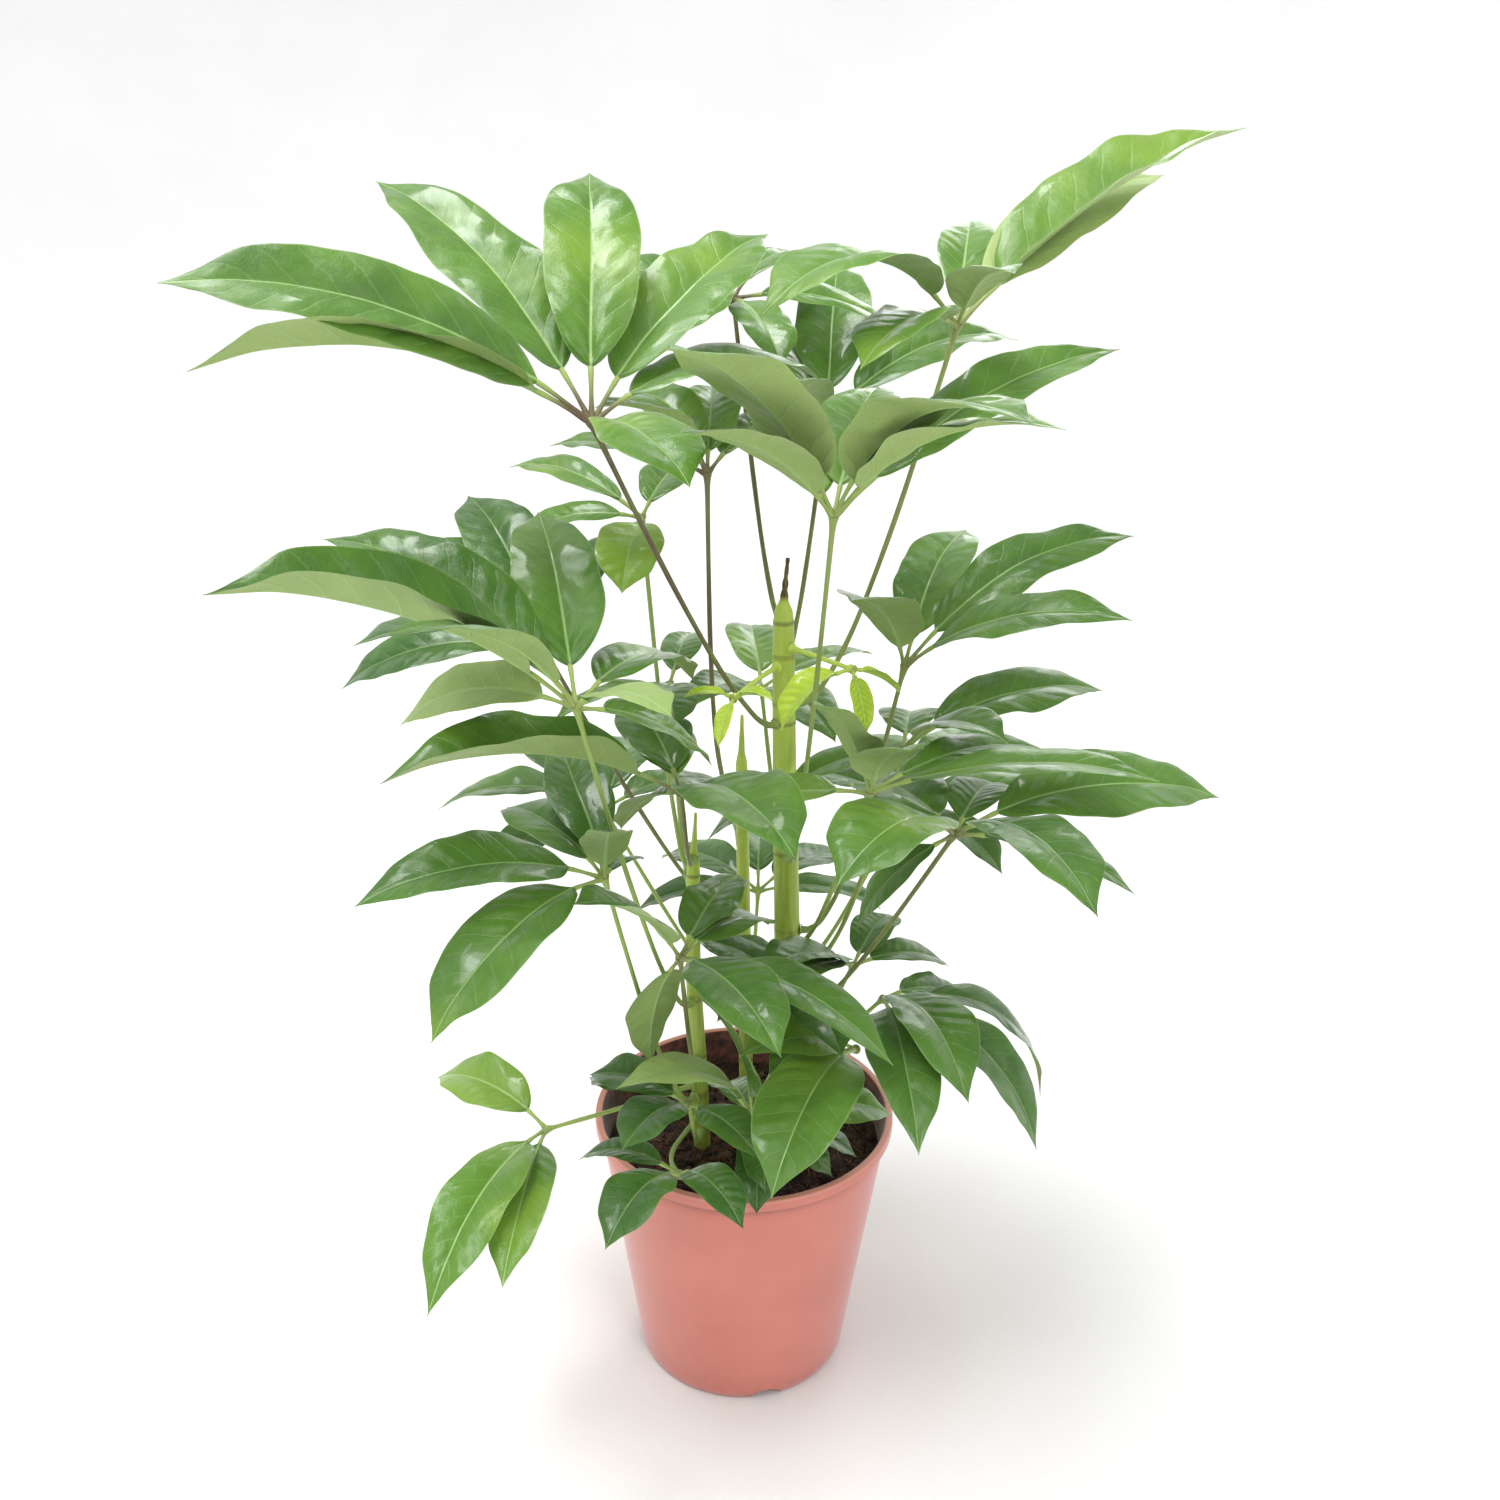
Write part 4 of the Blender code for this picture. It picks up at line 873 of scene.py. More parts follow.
def fibre_grid(count, seed):
    """Root and bark fibres on the soil: three-sided strands on bent arcs, thinner at both ends."""
    rng = np.random.default_rng(seed)
    edge = soil_edge(0.012)
    start = strewn(rng, count, edge)
    length = rng.uniform(0.006, 0.024, count)
    turn, bend = rng.uniform(0, 2 * math.pi, count), rng.uniform(-2.2, 2.2, count)
    along = np.linspace(-0.5, 0.5, 8)
    steps = circle(turn[:, None] + bend[:, None] * along) * (length / 7)[:, None, None]
    flat = start[:, None] + np.cumsum(steps, axis=1)
    flat = flat * np.minimum(1, edge / np.maximum(np.linalg.norm(flat, axis=-1, keepdims=True), 1e-6))
    rise = rng.uniform(0.0004, 0.0028, (count, 1)) * np.cos(along * 3) + 0.0004
    centre = np.concatenate([flat, (top_of_soil(flat) + rise)[..., None]], axis=-1)
    tangent = unit(np.gradient(centre, axis=1))
    across = unit(np.cross(tangent, (0.0, 0.0, 1.0)))[:, :, None]
    other = np.cross(tangent[:, :, None], across)
    radius = rng.uniform(0.00018, 0.00042, (count, 1)) * (1 - 1.44 * np.abs(along))
    angle = headings(3)[:, None]
    points = centre[:, :, None] + radius[..., None, None] * (np.cos(angle) * across + np.sin(angle) * other)
    return {"points": points, "slots": 1, "values": {"shade": rng.uniform(0, 1, (count, 1, 1))}}


class Net:
    """Adds nodes to a node tree and joins them; a number, a colour or a node's output feeds an input."""

    def __init__(self, tree):
        self.tree = tree

    def feed(self, socket, value):
        """Joins an output to the input, or sets the input to a number, a vector or a colour."""
        if isinstance(value, bpy.types.NodeSocket):
            self.tree.links.new(value, socket)
        elif value is not None:
            if hasattr(value, "__len__") and len(value) == 3 and socket.type == "RGBA":
                value = (*value, 1)
            socket.default_value = value

    def node(self, kind, inputs=(), **settings):
        """A new node of a kind, with its inputs fed and its settings set."""
        made = self.tree.nodes.new(f"ShaderNode{kind}" if kind[:4] != "Node" else kind)
        for key, value in settings.items():
            setattr(made, key, value)
        for key, value in dict(inputs).items():
            self.feed(made.inputs[key], value)
        return made

    def math(self, operation, a, b=None, clamp=False):
        """The result of a math node on one or two values."""
        made = self.node("Math", operation=operation, use_clamp=clamp)
        for socket, value in zip(made.inputs, (a, b)):
            self.feed(socket, value)
        return made.outputs[0]

    def times(self, a, b):
        """The product a b."""
        return self.math("MULTIPLY", a, b)

    def minus(self, a, b):
        """The difference a - b."""
        return self.math("SUBTRACT", a, b)

    def plus(self, first, *terms, clamp=False):
        """The first value plus each term in turn; a term is a value, or a value and its share."""
        for term in terms:
            first = self.math("ADD", first, self.times(*term) if isinstance(term, tuple) else term, clamp)
        return first

    def mix(self, share, a, b):
        """The colour that is a at share 0 and b at share 1."""
        made = self.node("Mix", {0: share, 6: a, 7: b}, data_type="RGBA", clamp_factor=True)
        return made.outputs[2]

    def layered(self, colour, *layers):
        """The colour with others laid over it; a layer is its mask, the mask's share and its colour."""
        for mask, share, over in layers:
            colour = self.mix(self.times(mask, share), colour, over)
        return colour

    def rise(self, value, low, high, start=0.0, end=1.0):
        """A smooth step from start to end while the value goes from low to high."""
        inputs = {0: value, 1: low, 2: high, 3: start, 4: end}
        return self.node("MapRange", inputs, interpolation_type="SMOOTHSTEP").outputs[0]

    def attribute(self, name):
        """A point's own value, as new_piece stored it under a name."""
        return self.node("Attribute", attribute_name=name).outputs["Fac"]

    def place(self, stretch=(1, 1, 1)):
        """The point's own place in object space, stretched."""
        own = self.node("TexCoord").outputs["Object"]
        return self.node("Mapping", {"Vector": own, "Scale": stretch}).outputs[0]

    def noise(self, vector, scale, detail=3.0, roughness=0.5):
        """Cloudy noise of about 0 to 1."""
        inputs = {"Vector": vector, "Scale": scale, "Detail": detail, "Roughness": roughness}
        return self.node("TexNoise", inputs).outputs["Fac"]

    def cells(self, vector, scale, feature):
        """The distance to the middle (F1) or the edge (DISTANCE_TO_EDGE) of the nearest of many cells."""
        made = self.node("TexVoronoi", {"Vector": vector, "Scale": scale}, feature=feature)
        return made.outputs["Distance"]

    def group(self, tree, **inputs):
        """The outputs of a node group; an input's spaces are written as underscores."""
        made = self.node("Group")
        made.node_tree = tree
        for key, value in inputs.items():
            self.feed(made.inputs[key.replace("_", " ")], value)
        return made.outputs


def new_group(name, numbers, outputs):
    """A node group with a vector input, number inputs with their defaults, and named number outputs."""
    tree = bpy.data.node_groups.new(name, "ShaderNodeTree")
    tree.interface.new_socket("Vector", in_out="INPUT", socket_type="NodeSocketVector")
    for key, default in numbers.items():
        tree.interface.new_socket(key, in_out="INPUT", socket_type="NodeSocketFloat").default_value = default
    for key in outputs:
        tree.interface.new_socket(key, in_out="OUTPUT", socket_type="NodeSocketFloat")
    net = Net(tree)
    return net, net.node("NodeGroupInput").outputs, net.node("NodeGroupOutput").inputs


@functools.lru_cache
def mottle_group():
    """Uneven tone in two sizes: coarse cloudiness, and fine grain for bumps."""
    net, given, out = new_group("mottle", {"Coarse": 20.0, "Fine": 300.0}, ("Cloud", "Grain"))
    net.feed(out["Cloud"], net.rise(net.noise(given["Vector"], given["Coarse"], 4.0, 0.55), 0.30, 0.70))
    net.feed(out["Grain"], net.noise(given["Vector"], given["Fine"], 2.0, 0.6))
    return net.tree


@functools.lru_cache
def vein_group():
    """A leaf's midrib, paired side veins, the quilting between them, a fine net of veins, and the margin.

    A side vein lies where pairs * (along - slant * across) is a whole number, bent by a little noise.
    """
    numbers = {"Along": 0, "Across": 0, "Offset": 0}
    numbers.update({"Pairs": VEIN_PAIRS, "Slant": VEIN_SLANT, "Rib Width": 0.0011})
    net, given, out = new_group("leaf_veins", numbers, ("Rib", "Veins", "Quilt", "Net", "Margin"))
    along, where, far = given["Along"], given["Vector"], net.math("ABSOLUTE", given["Across"])
    bend = net.times(net.minus(net.noise(where, 45.0, 2.0), 0.5), 0.05)
    lean = net.times(net.times(far, net.minus(1.0, net.times(along, 0.35))), given["Slant"])
    turn = net.times(net.plus(net.minus(along, lean), bend), given["Pairs"])
    near = net.math("ABSOLUTE", net.minus(net.math("FRACT", turn), 0.5))
    wide = net.times(given["Rib Width"], net.rise(along, 0.0, 1.0, 1.0, 0.35))
    quilt = net.times(net.rise(near, 0.0, 0.5, 1.0, 0.0), net.rise(far, 0.02, 0.25))
    net.feed(out["Rib"], net.rise(net.math("DIVIDE", given["Offset"], wide), 0.45, 1.15, 1.0, 0.0))
    net.feed(out["Veins"], net.times(net.rise(near, 0.43, 0.495), net.rise(far, 0.80, 0.97, 1.0, 0.0)))
    net.feed(out["Quilt"], net.times(quilt, net.rise(far, 0.75, 1.0, 1.0, 0.2)))
    net.feed(out["Net"], net.rise(net.cells(where, 420.0, "DISTANCE_TO_EDGE"), 0.0, 0.12, 1.0, 0.0))
    net.feed(out["Margin"], net.rise(far, 0.955, 0.995))
    return net.tree


@functools.lru_cache
def streak_group():
    """Lengthwise streaks, and small raised pores that are longer than they are wide."""
    net, given, out = new_group("lengthwise_streaks", {"Across": 300.0, "Pores": 120.0}, ("Streak", "Pore"))
    net.feed(out["Streak"], net.rise(net.noise(given["Vector"], given["Across"], 3.0, 0.6), 0.32, 0.68))
    net.feed(out["Pore"], net.rise(net.cells(given["Vector"], given["Pores"], "F1"), 0.08, 0.20, 1.0, 0.0))
    return net.tree


def new_material(name, **constants):
    """A material with a Principled shader, whose constants are set on the shader itself."""
    material = bpy.data.materials.new(name)
    material.use_nodes = True
    net = Net(material.node_tree)
    shader = material.node_tree.nodes["Principled BSDF"]
    for key, value in constants.items():
        net.feed(shader.inputs[key.replace("_", " ")], value)
    return material, net, shader.inputs


def dress(net, inputs, colour, roughness, height=None, distance=0.0, strength=1.0):
    """Gives the shader its colour and roughness, and bumps of a height times a distance."""
    net.feed(inputs["Base Color"], colour)
    net.feed(inputs["Roughness"], roughness)
    if height is not None:
        bump = net.node("Bump", {"Height": height, "Distance": distance, "Strength": strength})
        net.feed(inputs["Normal"], bump.outputs[0])


def blade_masks(net, coarse, fine, **rib):
    """A blade's veins and mottling, and the place that they are read at."""
    where = net.place()
    lines = {key: net.attribute(key.lower()) for key in ("Along", "Across", "Offset")}
    mottle = net.group(mottle_group(), Vector=where, Coarse=coarse, Fine=fine)
    return where, net.group(vein_group(), Vector=where, **lines, **rib), mottle


def leaf_top_material(name, look):
    """The glossy upper side: two greens by leaf and by patch, pale midrib, faint side veins and quilting, whose
    swellings are lightened a little as painted highlight.
    """
    material, net, inputs = new_material(
        name, Coat_Roughness=0.10, Specular_IOR_Level=0.42, Sheen_Weight=0.10, Sheen_Roughness=0.35)
    where, veins, mottle = blade_masks(net, 22.0, 900.0)
    seed, tone = net.attribute("seed"), net.attribute("tone")
    patch = net.times(net.minus(mottle["Cloud"], 0.5), 0.5)
    # Painted highlight: the quilting's swellings between the side veins are lightened a little
    light = net.math("ADD", net.plus(tone, patch), net.times(veins["Quilt"], 0.07), True)
    sunny = net.times(net.rise(net.noise(where, 9.0, 2.0), 0.5, 0.72), net.rise(tone, 0.35, 0.9))
    fresh = net.math("MAXIMUM", net.times(sunny, 0.55), net.rise(tone, 1.0, 1.5, 0.0, 0.9))
    strong = net.rise(tone, 0.0, 1.0, 0.45, 1.0)
    green = net.layered(
        net.mix(fresh, net.mix(light, look.dark, look.light), look.fresh),
        (veins["Veins"], net.times(strong, 0.13), look.rib), (veins["Net"], 0.05, look.fresh),
        (veins["Rib"], net.times(strong, 0.80), look.rib),
        (veins["Margin"], net.times(strong, 0.40), look.rib),
    )
    rough = net.plus(net.rise(seed, 0, 1, 0.26, 0.40), (mottle["Grain"], 0.10), (veins["Rib"], 0.15))
    wrinkled = net.times(veins["Quilt"], net.rise(net.noise(where, 20.0, 2.0), 0.42, 0.66, 0.04, 1.0))
    height = net.plus(wrinkled, (veins["Veins"], -0.14), (veins["Net"], -0.05),
                      (net.noise(where, 170.0, 2.0), 0.50), (net.noise(where, 60.0, 1.0), 1.3))
    net.feed(inputs["Coat Weight"], net.rise(net.noise(where, 34.0, 2.0), 0.38, 0.66, 0.06, 0.62))
    dress(net, inputs, green, rough, height, 0.0011)
    return material


def leaf_under_material(name, look):
    """The matt, paler underside, with raised pale veins."""
    material, net, inputs = new_material(
        name, Specular_IOR_Level=0.35, Sheen_Weight=0.12, Sheen_Roughness=0.4)
    _, veins, mottle = blade_masks(net, 26.0, 1100.0, Rib_Width=0.0015)
    cloud = net.times(net.minus(mottle["Cloud"], 0.5), 0.35)
    green = net.layered(
        net.mix(net.plus(net.attribute("tone"), cloud, clamp=True), look.under_dark, look.under_light),
        (veins["Net"], 0.16, look.dark), (veins["Veins"], 0.30, look.rib), (veins["Rib"], 0.75, look.rib),
        (veins["Margin"], 0.30, look.rib),
    )
    height = net.plus(net.times(veins["Veins"], 0.35), (mottle["Grain"], 0.05), (veins["Quilt"], -0.35))
    dress(net, inputs, green, net.plus(0.50, (mottle["Grain"], 0.18)), height, 0.0008, 0.8)
    return material


def leaf_stalk_material(name, look):
    """Leaf stalks: green, turning brown-purple where the tint says, with fine lengthwise streaks."""
    material, net, inputs = new_material(name, Specular_IOR_Level=0.45)
    where = net.place((1, 1, 0.25))
    streaks = net.group(streak_group(), Vector=where, Across=700.0, Pores=260.0)
    patchy = net.rise(net.noise(where, 60.0, 3.0), 0.25, 0.60, 0.65, 1.0)
    green = net.layered(
        net.mix(net.attribute("tone"), look.stalk_dark, look.stalk_light),
        (streaks["Streak"], 0.25, look.rib), (net.attribute("tint"), patchy, look.stalk_brown),
        (streaks["Pore"], 0.18, look.stalk_brown),
    )
    height = net.plus(streaks["Streak"], streaks["Pore"])
    dress(net, inputs, green, net.plus(0.38, (streaks["Streak"], 0.16)), height, 0.00015, 0.6)
    return material


def stem_material(look):
    """Young bark: bright green with pale lengthwise streaks, corky pores, brown scars and a dry spike."""
    material, net, inputs = new_material("stem_bark", Specular_IOR_Level=0.45)
    streaks = net.group(streak_group(), Vector=net.place((1, 1, 0.08)), Across=260.0, Pores=230.0)
    mottle = net.group(mottle_group(), Vector=net.place((1, 1, 0.4)), Coarse=30.0, Fine=500.0)
    along, scar, spike = (net.attribute(key) for key in ("along", "scar", "spike"))
    crumpled = net.rise(net.noise(net.place((1, 1, 0.2)), 400.0, 2.0), 0.2, 0.6, 0.7, 1.0)
    green = net.layered(
        net.mix(net.rise(along, 0.0, 0.9), look.lower, look.upper), (mottle["Cloud"], 0.42, look.shade),
        (streaks["Streak"], 0.35, look.streak), (streaks["Pore"], 0.30, look.pore),
        (net.rise(scar, 0.35, 0.9), 0.55, look.scar), (spike, crumpled, look.scar),
    )
    rough = net.plus(net.rise(spike, 0, 1, 0.38, 0.75), (mottle["Grain"], 0.14))
    dress(net, inputs, green, rough, net.plus(streaks["Pore"], (streaks["Streak"], 0.6)), 0.00035, 0.7)
    return material


def pot_material(look):
    """Moulded plastic: slightly cloudy colour, faint flow streaks, rub marks, a rim edge lightened as painted
    highlight with edge wear, painted shade under the lip, and a near black inside of soil dusting and painted
    shade.
    """
    material, net, inputs = new_material(
        "moulded_plastic", Specular_IOR_Level=0.5, Sheen_Weight=0.55, Sheen_Roughness=0.35,
        Sheen_Tint=(0.96, 0.88, 1.0))
    where = net.place()
    height = net.node("SeparateXYZ", {0: where}).outputs[2]
    mottle = net.group(mottle_group(), Vector=where, Coarse=14.0, Fine=1500.0)
    streaks = net.group(streak_group(), Vector=net.place((1, 1, 0.05)), Across=60.0, Pores=900.0)
    scuff = net.rise(net.noise(net.place((1, 1, 5)), 70.0, 6.0, 0.75), 0.60, 0.74)
    foot = net.times(net.rise(height, 0.0, 0.03, 1.0, 0.0), net.rise(net.noise(where, 90.0, 4.0), 0.42, 0.65))
    lip = net.rise(height, POT_HEIGHT - LIP_DEPTH, POT_HEIGHT - LIP_DEPTH + 0.001)
    # Painted shade: a soft dark band on the wall just under the lip, where the lip shades it
    shade_under_lip = net.times(net.rise(height, POT_HEIGHT - 0.020, POT_HEIGHT - 0.011), net.minus(1.0, lip))
    # Painted highlight, with some edge wear: the rim's top edge lightened with the rub-mark colour
    edge = net.rise(height, POT_HEIGHT - 0.003, POT_HEIGHT - 0.0006)
    # Soil dusting and painted shade: the inside wall turned near black, as it lies in shade
    dust_and_shade_cover = net.rise(net.noise(where, 110.0, 5.0, 0.65), 0.30, 0.66, 0.62, 0.97)
    dust_and_shade = net.times(net.attribute("inner"), dust_and_shade_cover)
    body = net.layered(
        net.mix(mottle["Cloud"], look.dark, look.light), (streaks["Streak"], 0.14, look.light),
        (scuff, 0.16, look.scuff), (foot, 0.14, look.dirt_and_shade), (shade_under_lip, 0.42, look.dirt_and_shade), (edge, 0.35, look.scuff),
        (dust_and_shade, 1.0, look.dirt_and_shade),
    )
    rough = net.plus(net.rise(mottle["Cloud"], 0, 1, 0.40, 0.50), (scuff, 0.12), (dust_and_shade, 0.35))
    bumps = net.plus(net.times(mottle["Grain"], 0.25), (streaks["Streak"], 0.5), (dust_and_shade, 1.5))
    dress(net, inputs, body, rough, bumps, 0.00018, 0.5)
    return material


def soil_material(look):
    """Damp peat: near black to brown by patch and by crumb, with pale bark chips, dull with damp glints."""
    material, net, inputs = new_material("peat", Specular_IOR_Level=0.35)
    mottle = net.group(mottle_group(), Vector=net.place(), Coarse=70.0, Fine=900.0)
    body = net.layered(
        net.mix(mottle["Cloud"], look.dark, look.light), (net.attribute("shade"), 0.6, look.light),
        (net.attribute("bark"), 0.8, look.bark),
    )
    rough = net.rise(mottle["Grain"], 0.35, 0.70, 0.62, 0.95)
    dress(net, inputs, body, rough, net.plus(mottle["Grain"], (mottle["Cloud"], 0.8)), 0.0010, 0.9)
    return material


def fibre_material(look):
    """Root and bark fibres: reddish brown from strand to strand, with darker streaks."""
    material, net, inputs = new_material("root_fibre", Specular_IOR_Level=0.3)
    streaks = net.group(streak_group(), Vector=net.place(), Across=500.0, Pores=700.0)
    body = net.mix(net.attribute("shade"), look.fibre_dark, look.fibre_light)
    body = net.layered(body, (streaks["Streak"], 0.4, look.dark))
    dress(net, inputs, body, net.plus(0.68, (streaks["Pore"], 0.2)))
    return material


def floor_material(look):
    """The stage's pale floor, with faint clouds and grain."""
    material, net, inputs = new_material("studio_floor", Specular_IOR_Level=0.25)
    mottle = net.group(mottle_group(), Vector=net.place(), Coarse=1.6, Fine=240.0)
    shade = net.plus(net.times(mottle["Cloud"], 0.5), (mottle["Grain"], 0.5))
    body = net.mix(shade, look.floor_dark, look.floor_light)
    dress(net, inputs, body, net.rise(mottle["Grain"], 0.3, 0.7, 0.70, 0.82))
    return material


def colour(name, description, default):
    """A colour property."""
    return bpy.props.FloatVectorProperty(
        name=name, description=description, subtype="COLOR", size=3, min=0, max=1, default=default)


def length(name, description, default):
    """A length property of up to 0.1 m."""
    return bpy.props.FloatProperty(
        name=name, description=description, subtype="DISTANCE", unit="LENGTH", min=0, max=0.1, precision=5,
        default=default)


def number(name, description, default, highest=1.0):
    """A plain number property from 0 to its highest value."""
    return bpy.props.FloatProperty(name=name, description=description, min=0, max=highest, default=default)


def power(name, description, default):
    """A light's power property, in watts."""
    return bpy.props.FloatProperty(
        name=name, description=description, subtype="POWER", unit="POWER", min=0, max=500, default=default)


def amount(name, description, default, lowest, highest):
    """A whole number property."""
    return bpy.props.IntProperty(name=name, description=description, min=lowest, max=highest, default=default)


class PotSettings(bpy.types.PropertyGroup):
    sides: amount("Sides", "Headings round the pot at which its profile is placed", 360, 90, 720)
    dark: colour("Dark plastic", "Colour of the plastic in its darker clouds", (0.555, 0.172, 0.126))
    light: colour("Light plastic", "Colour of the plastic in its lighter clouds", (0.620, 0.205, 0.155))
    # This colour paints rub marks, and the painted highlight, with edge wear, on the rim's top edge
    scuff: colour("Rub marks", "Colour of the rubbed plastic", (0.80, 0.42, 0.35))
    # This colour paints dirt on the foot, soil dusting with painted shade on the inside wall, and painted shade
    # under the lip
    dirt_and_shade: colour("Soil dust", "Colour of the dust inside and on the foot", (0.040, 0.020, 0.018))


class SoilSettings(bpy.types.PropertyGroup):
    crumbs: amount("Crumbs", "Number of loose crumbs", 1100, 1, 3000)
    fibres: amount("Fibres", "Number of loose fibres", 1000, 1, 1500)
    dark: colour("Dark peat", "Colour of the damp peat", (0.016, 0.010, 0.008))
    light: colour("Light peat", "Colour of the drier peat", (0.060, 0.034, 0.024))
    bark: colour("Bark chips", "Colour of the paler chips", (0.16, 0.085, 0.050))
    fibre_dark: colour("Dark fibre", "Colour of the darker fibres", (0.105, 0.038, 0.024))
    fibre_light: colour("Light fibre", "Colour of the lighter fibres", (0.42, 0.185, 0.115))


class StemSettings(bpy.types.PropertyGroup):
    lower: colour("Lower stem", "Colour near the soil", (0.300, 0.400, 0.045))
    upper: colour("Upper stem", "Colour near the bud", (0.470, 0.620, 0.070))
    shade: colour("Shaded patches", "Colour of the duller patches", (0.190, 0.330, 0.035))
    streak: colour("Streaks", "Colour of the pale lengthwise streaks", (0.640, 0.700, 0.220))
    pore: colour("Pores", "Colour of the corky pores", (0.340, 0.300, 0.140))
    scar: colour("Leaf scars", "Colour of the leaf scars and the dry spike", (0.110, 0.060, 0.028))


class LeafSettings(bpy.types.PropertyGroup):
    stations: amount("Stations", "Rings along each blade", 52, 16, 90)
    thickness: length("Thickness", "Thickness of the blade at the midrib", 0.0007)
    rib_height: length("Midrib height", "How far the midrib stands out below", 0.0011)
    wave: length("Margin wave", "Height of the waves at the margins of a broad leaflet", 0.0017)
    quilting: length("Quilting", "Height of the swellings between the side veins", 0.00022)
    swell: number("Swell", "Rise of each half of the blade, as a share of the half width", 0.075, 0.4)
    pucker: length("Pucker", "Height of the blade's uneven puckers", 0.0010)
    dark: colour("Dark green", "Upper side of the darkest leaflets", (0.038, 0.118, 0.016))
    light: colour("Light green", "Upper side of the lightest leaflets", (0.108, 0.245, 0.028))
    fresh: colour("Fresh green", "Yellow-green patches of the top leaves", (0.270, 0.430, 0.050))
    rib: colour("Veins", "Midrib, side veins and margin", (0.360, 0.540, 0.190))
    under_dark: colour("Dark underside", "Underside of the lower leaves", (0.230, 0.345, 0.095))
    under_light: colour("Light underside", "Underside of the top leaves", (0.370, 0.490, 0.165))
    stalk_dark: colour("Dark stalk", "Stalks of the lower leaves", (0.300, 0.430, 0.090))
    stalk_light: colour("Light stalk", "Stalks of the top leaves", (0.380, 0.500, 0.130))
    stalk_brown: colour("Brown stalk", "Stalks near the hubs", (0.125, 0.070, 0.052))


class YoungLeafSettings(bpy.types.PropertyGroup):
    stations: amount("Stations", "Rings along each blade", 44, 16, 90)
    thickness: length("Thickness", "Thickness of the blade at the midrib", 0.0008)
    rib_height: length("Midrib height", "How far the midrib stands out below", 0.0008)
    wave: length("Margin wave", "Height of the waves at the margins of a broad leaflet", 0.0030)
    quilting: length("Quilting", "Height of the swellings between the side veins", 0.0007)
    swell: number("Swell", "Rise of each half of the blade, as a share of the half width", 0.12, 0.4)
    pucker: length("Pucker", "Height of the blade's uneven puckers", 0.0008)
    dark: colour("Dark green", "Upper side in its darker parts", (0.430, 0.640, 0.030))
    light: colour("Light green", "Upper side in its lighter parts", (0.600, 0.800, 0.060))
    fresh: colour("Fresh green", "Yellow-green patches", (0.720, 0.860, 0.150))
    rib: colour("Veins", "Midrib, side veins and margin", (0.620, 0.800, 0.260))
    under_dark: colour("Dark underside", "Underside in its darker parts", (0.480, 0.680, 0.090))
    under_light: colour("Light underside", "Underside in its lighter parts", (0.640, 0.800, 0.160))
    stalk_dark: colour("Dark stalk", "Stalk near the stem", (0.470, 0.650, 0.080))
    stalk_light: colour("Light stalk", "Stalk near the hub", (0.600, 0.760, 0.120))
    stalk_brown: colour("Brown stalk", "Tips and scars", (0.230, 0.170, 0.050))


class StageSettings(bpy.types.PropertyGroup):
    floor_dark: colour("Floor shade", "Darker clouds of the floor", (0.80, 0.80, 0.80))
    floor_light: colour("Floor", "Lighter clouds of the floor", (0.88, 0.88, 0.88))
    ambient: number("Ambient light", "Strength of the light from all round", 0.62, 5)
    mirrored: number("Mirrored ambient", "Share of the ambient light that glossy surfaces mirror", 0.45)
    sky: number("Even light", "Strength of the wide, even light from above", 1.40, 10)
    overhead: power("Overhead light", "Power of the overhead light", 34)
    left: power("Left light", "Power of the light above the camera on the left", 9)
    front: power("Front light", "Power of the front light", 12)
    back: power("Back light", "Power of the back light", 7)


def leaf_materials(kind, look):
    """A leaf's materials in the order of FACES."""
    return [leaf_top_material(f"{kind}_upper_side", look), leaf_under_material(f"{kind}_underside", look),
            leaf_stalk_material(f"{kind}_stalk", look)]


def tone_of(leaf):
    """How light a leaf's green is by its height, from 0 low in the plant to 1 at its top."""
    return float(np.clip((leaf[2][2] - LOW_TONE_HEIGHT) / (HIGH_TONE_HEIGHT - LOW_TONE_HEIGHT), 0, 1))


class PLANT_OT_make_pot(bpy.types.Operator):
    """Make the moulded pot, with its lip, foot notches and drain holes"""

    bl_idname = "umbrella_plant.make_pot"
    bl_label = "Make pot"

    def execute(self, context):
        look = context.scene.plant_pot
        points, inside = pot_grid(look.sides)
        pot = make_lathe("nursery_pot", points, {"inner": inside}, pot_material(look), "pot")
        drill_drain_holes(pot)
        return {"FINISHED"}


class PLANT_OT_make_soil(bpy.types.Operator):
    """Make the root ball with its lumpy surface, crumbs and fibres"""

    bl_idname = "umbrella_plant.make_soil"
    bl_label = "Make soil"

    def execute(self, context):
        look = context.scene.plant_soil
        materials = [soil_material(look), fibre_material(look)]
        shade = np.full((1, 1, 1), 0.25)
        ball = {"points": soil_surface(SOIL_SIDES)[None], "slots": 0, "values": {"shade": shade}}
        new_piece("root_ball", [ball], materials[:1], "soil", sharp=180)
        new_piece("soil_crumbs", [crumb_grid(look.crumbs, 11)], materials[:1], "soil", sharp=180)
        new_piece("soil_fibres", [fibre_grid(look.fibres, 12)], materials, "soil", sharp=180)
        return {"FINISHED"}


class PLANT_OT_make_stems(bpy.types.Operator):
    """Make the three stems, with leaf scars, pores and a dry spike at the top"""

    bl_idname = "umbrella_plant.make_stems"
    bl_label = "Make stems"

    def execute(self, context):
        material = stem_material(context.scene.plant_stem)
        for name in STEMS:
            new_piece(f"{name}_stem_bark", [stem_grid(name)], [material], f"{name}_stem")
        return {"FINISHED"}


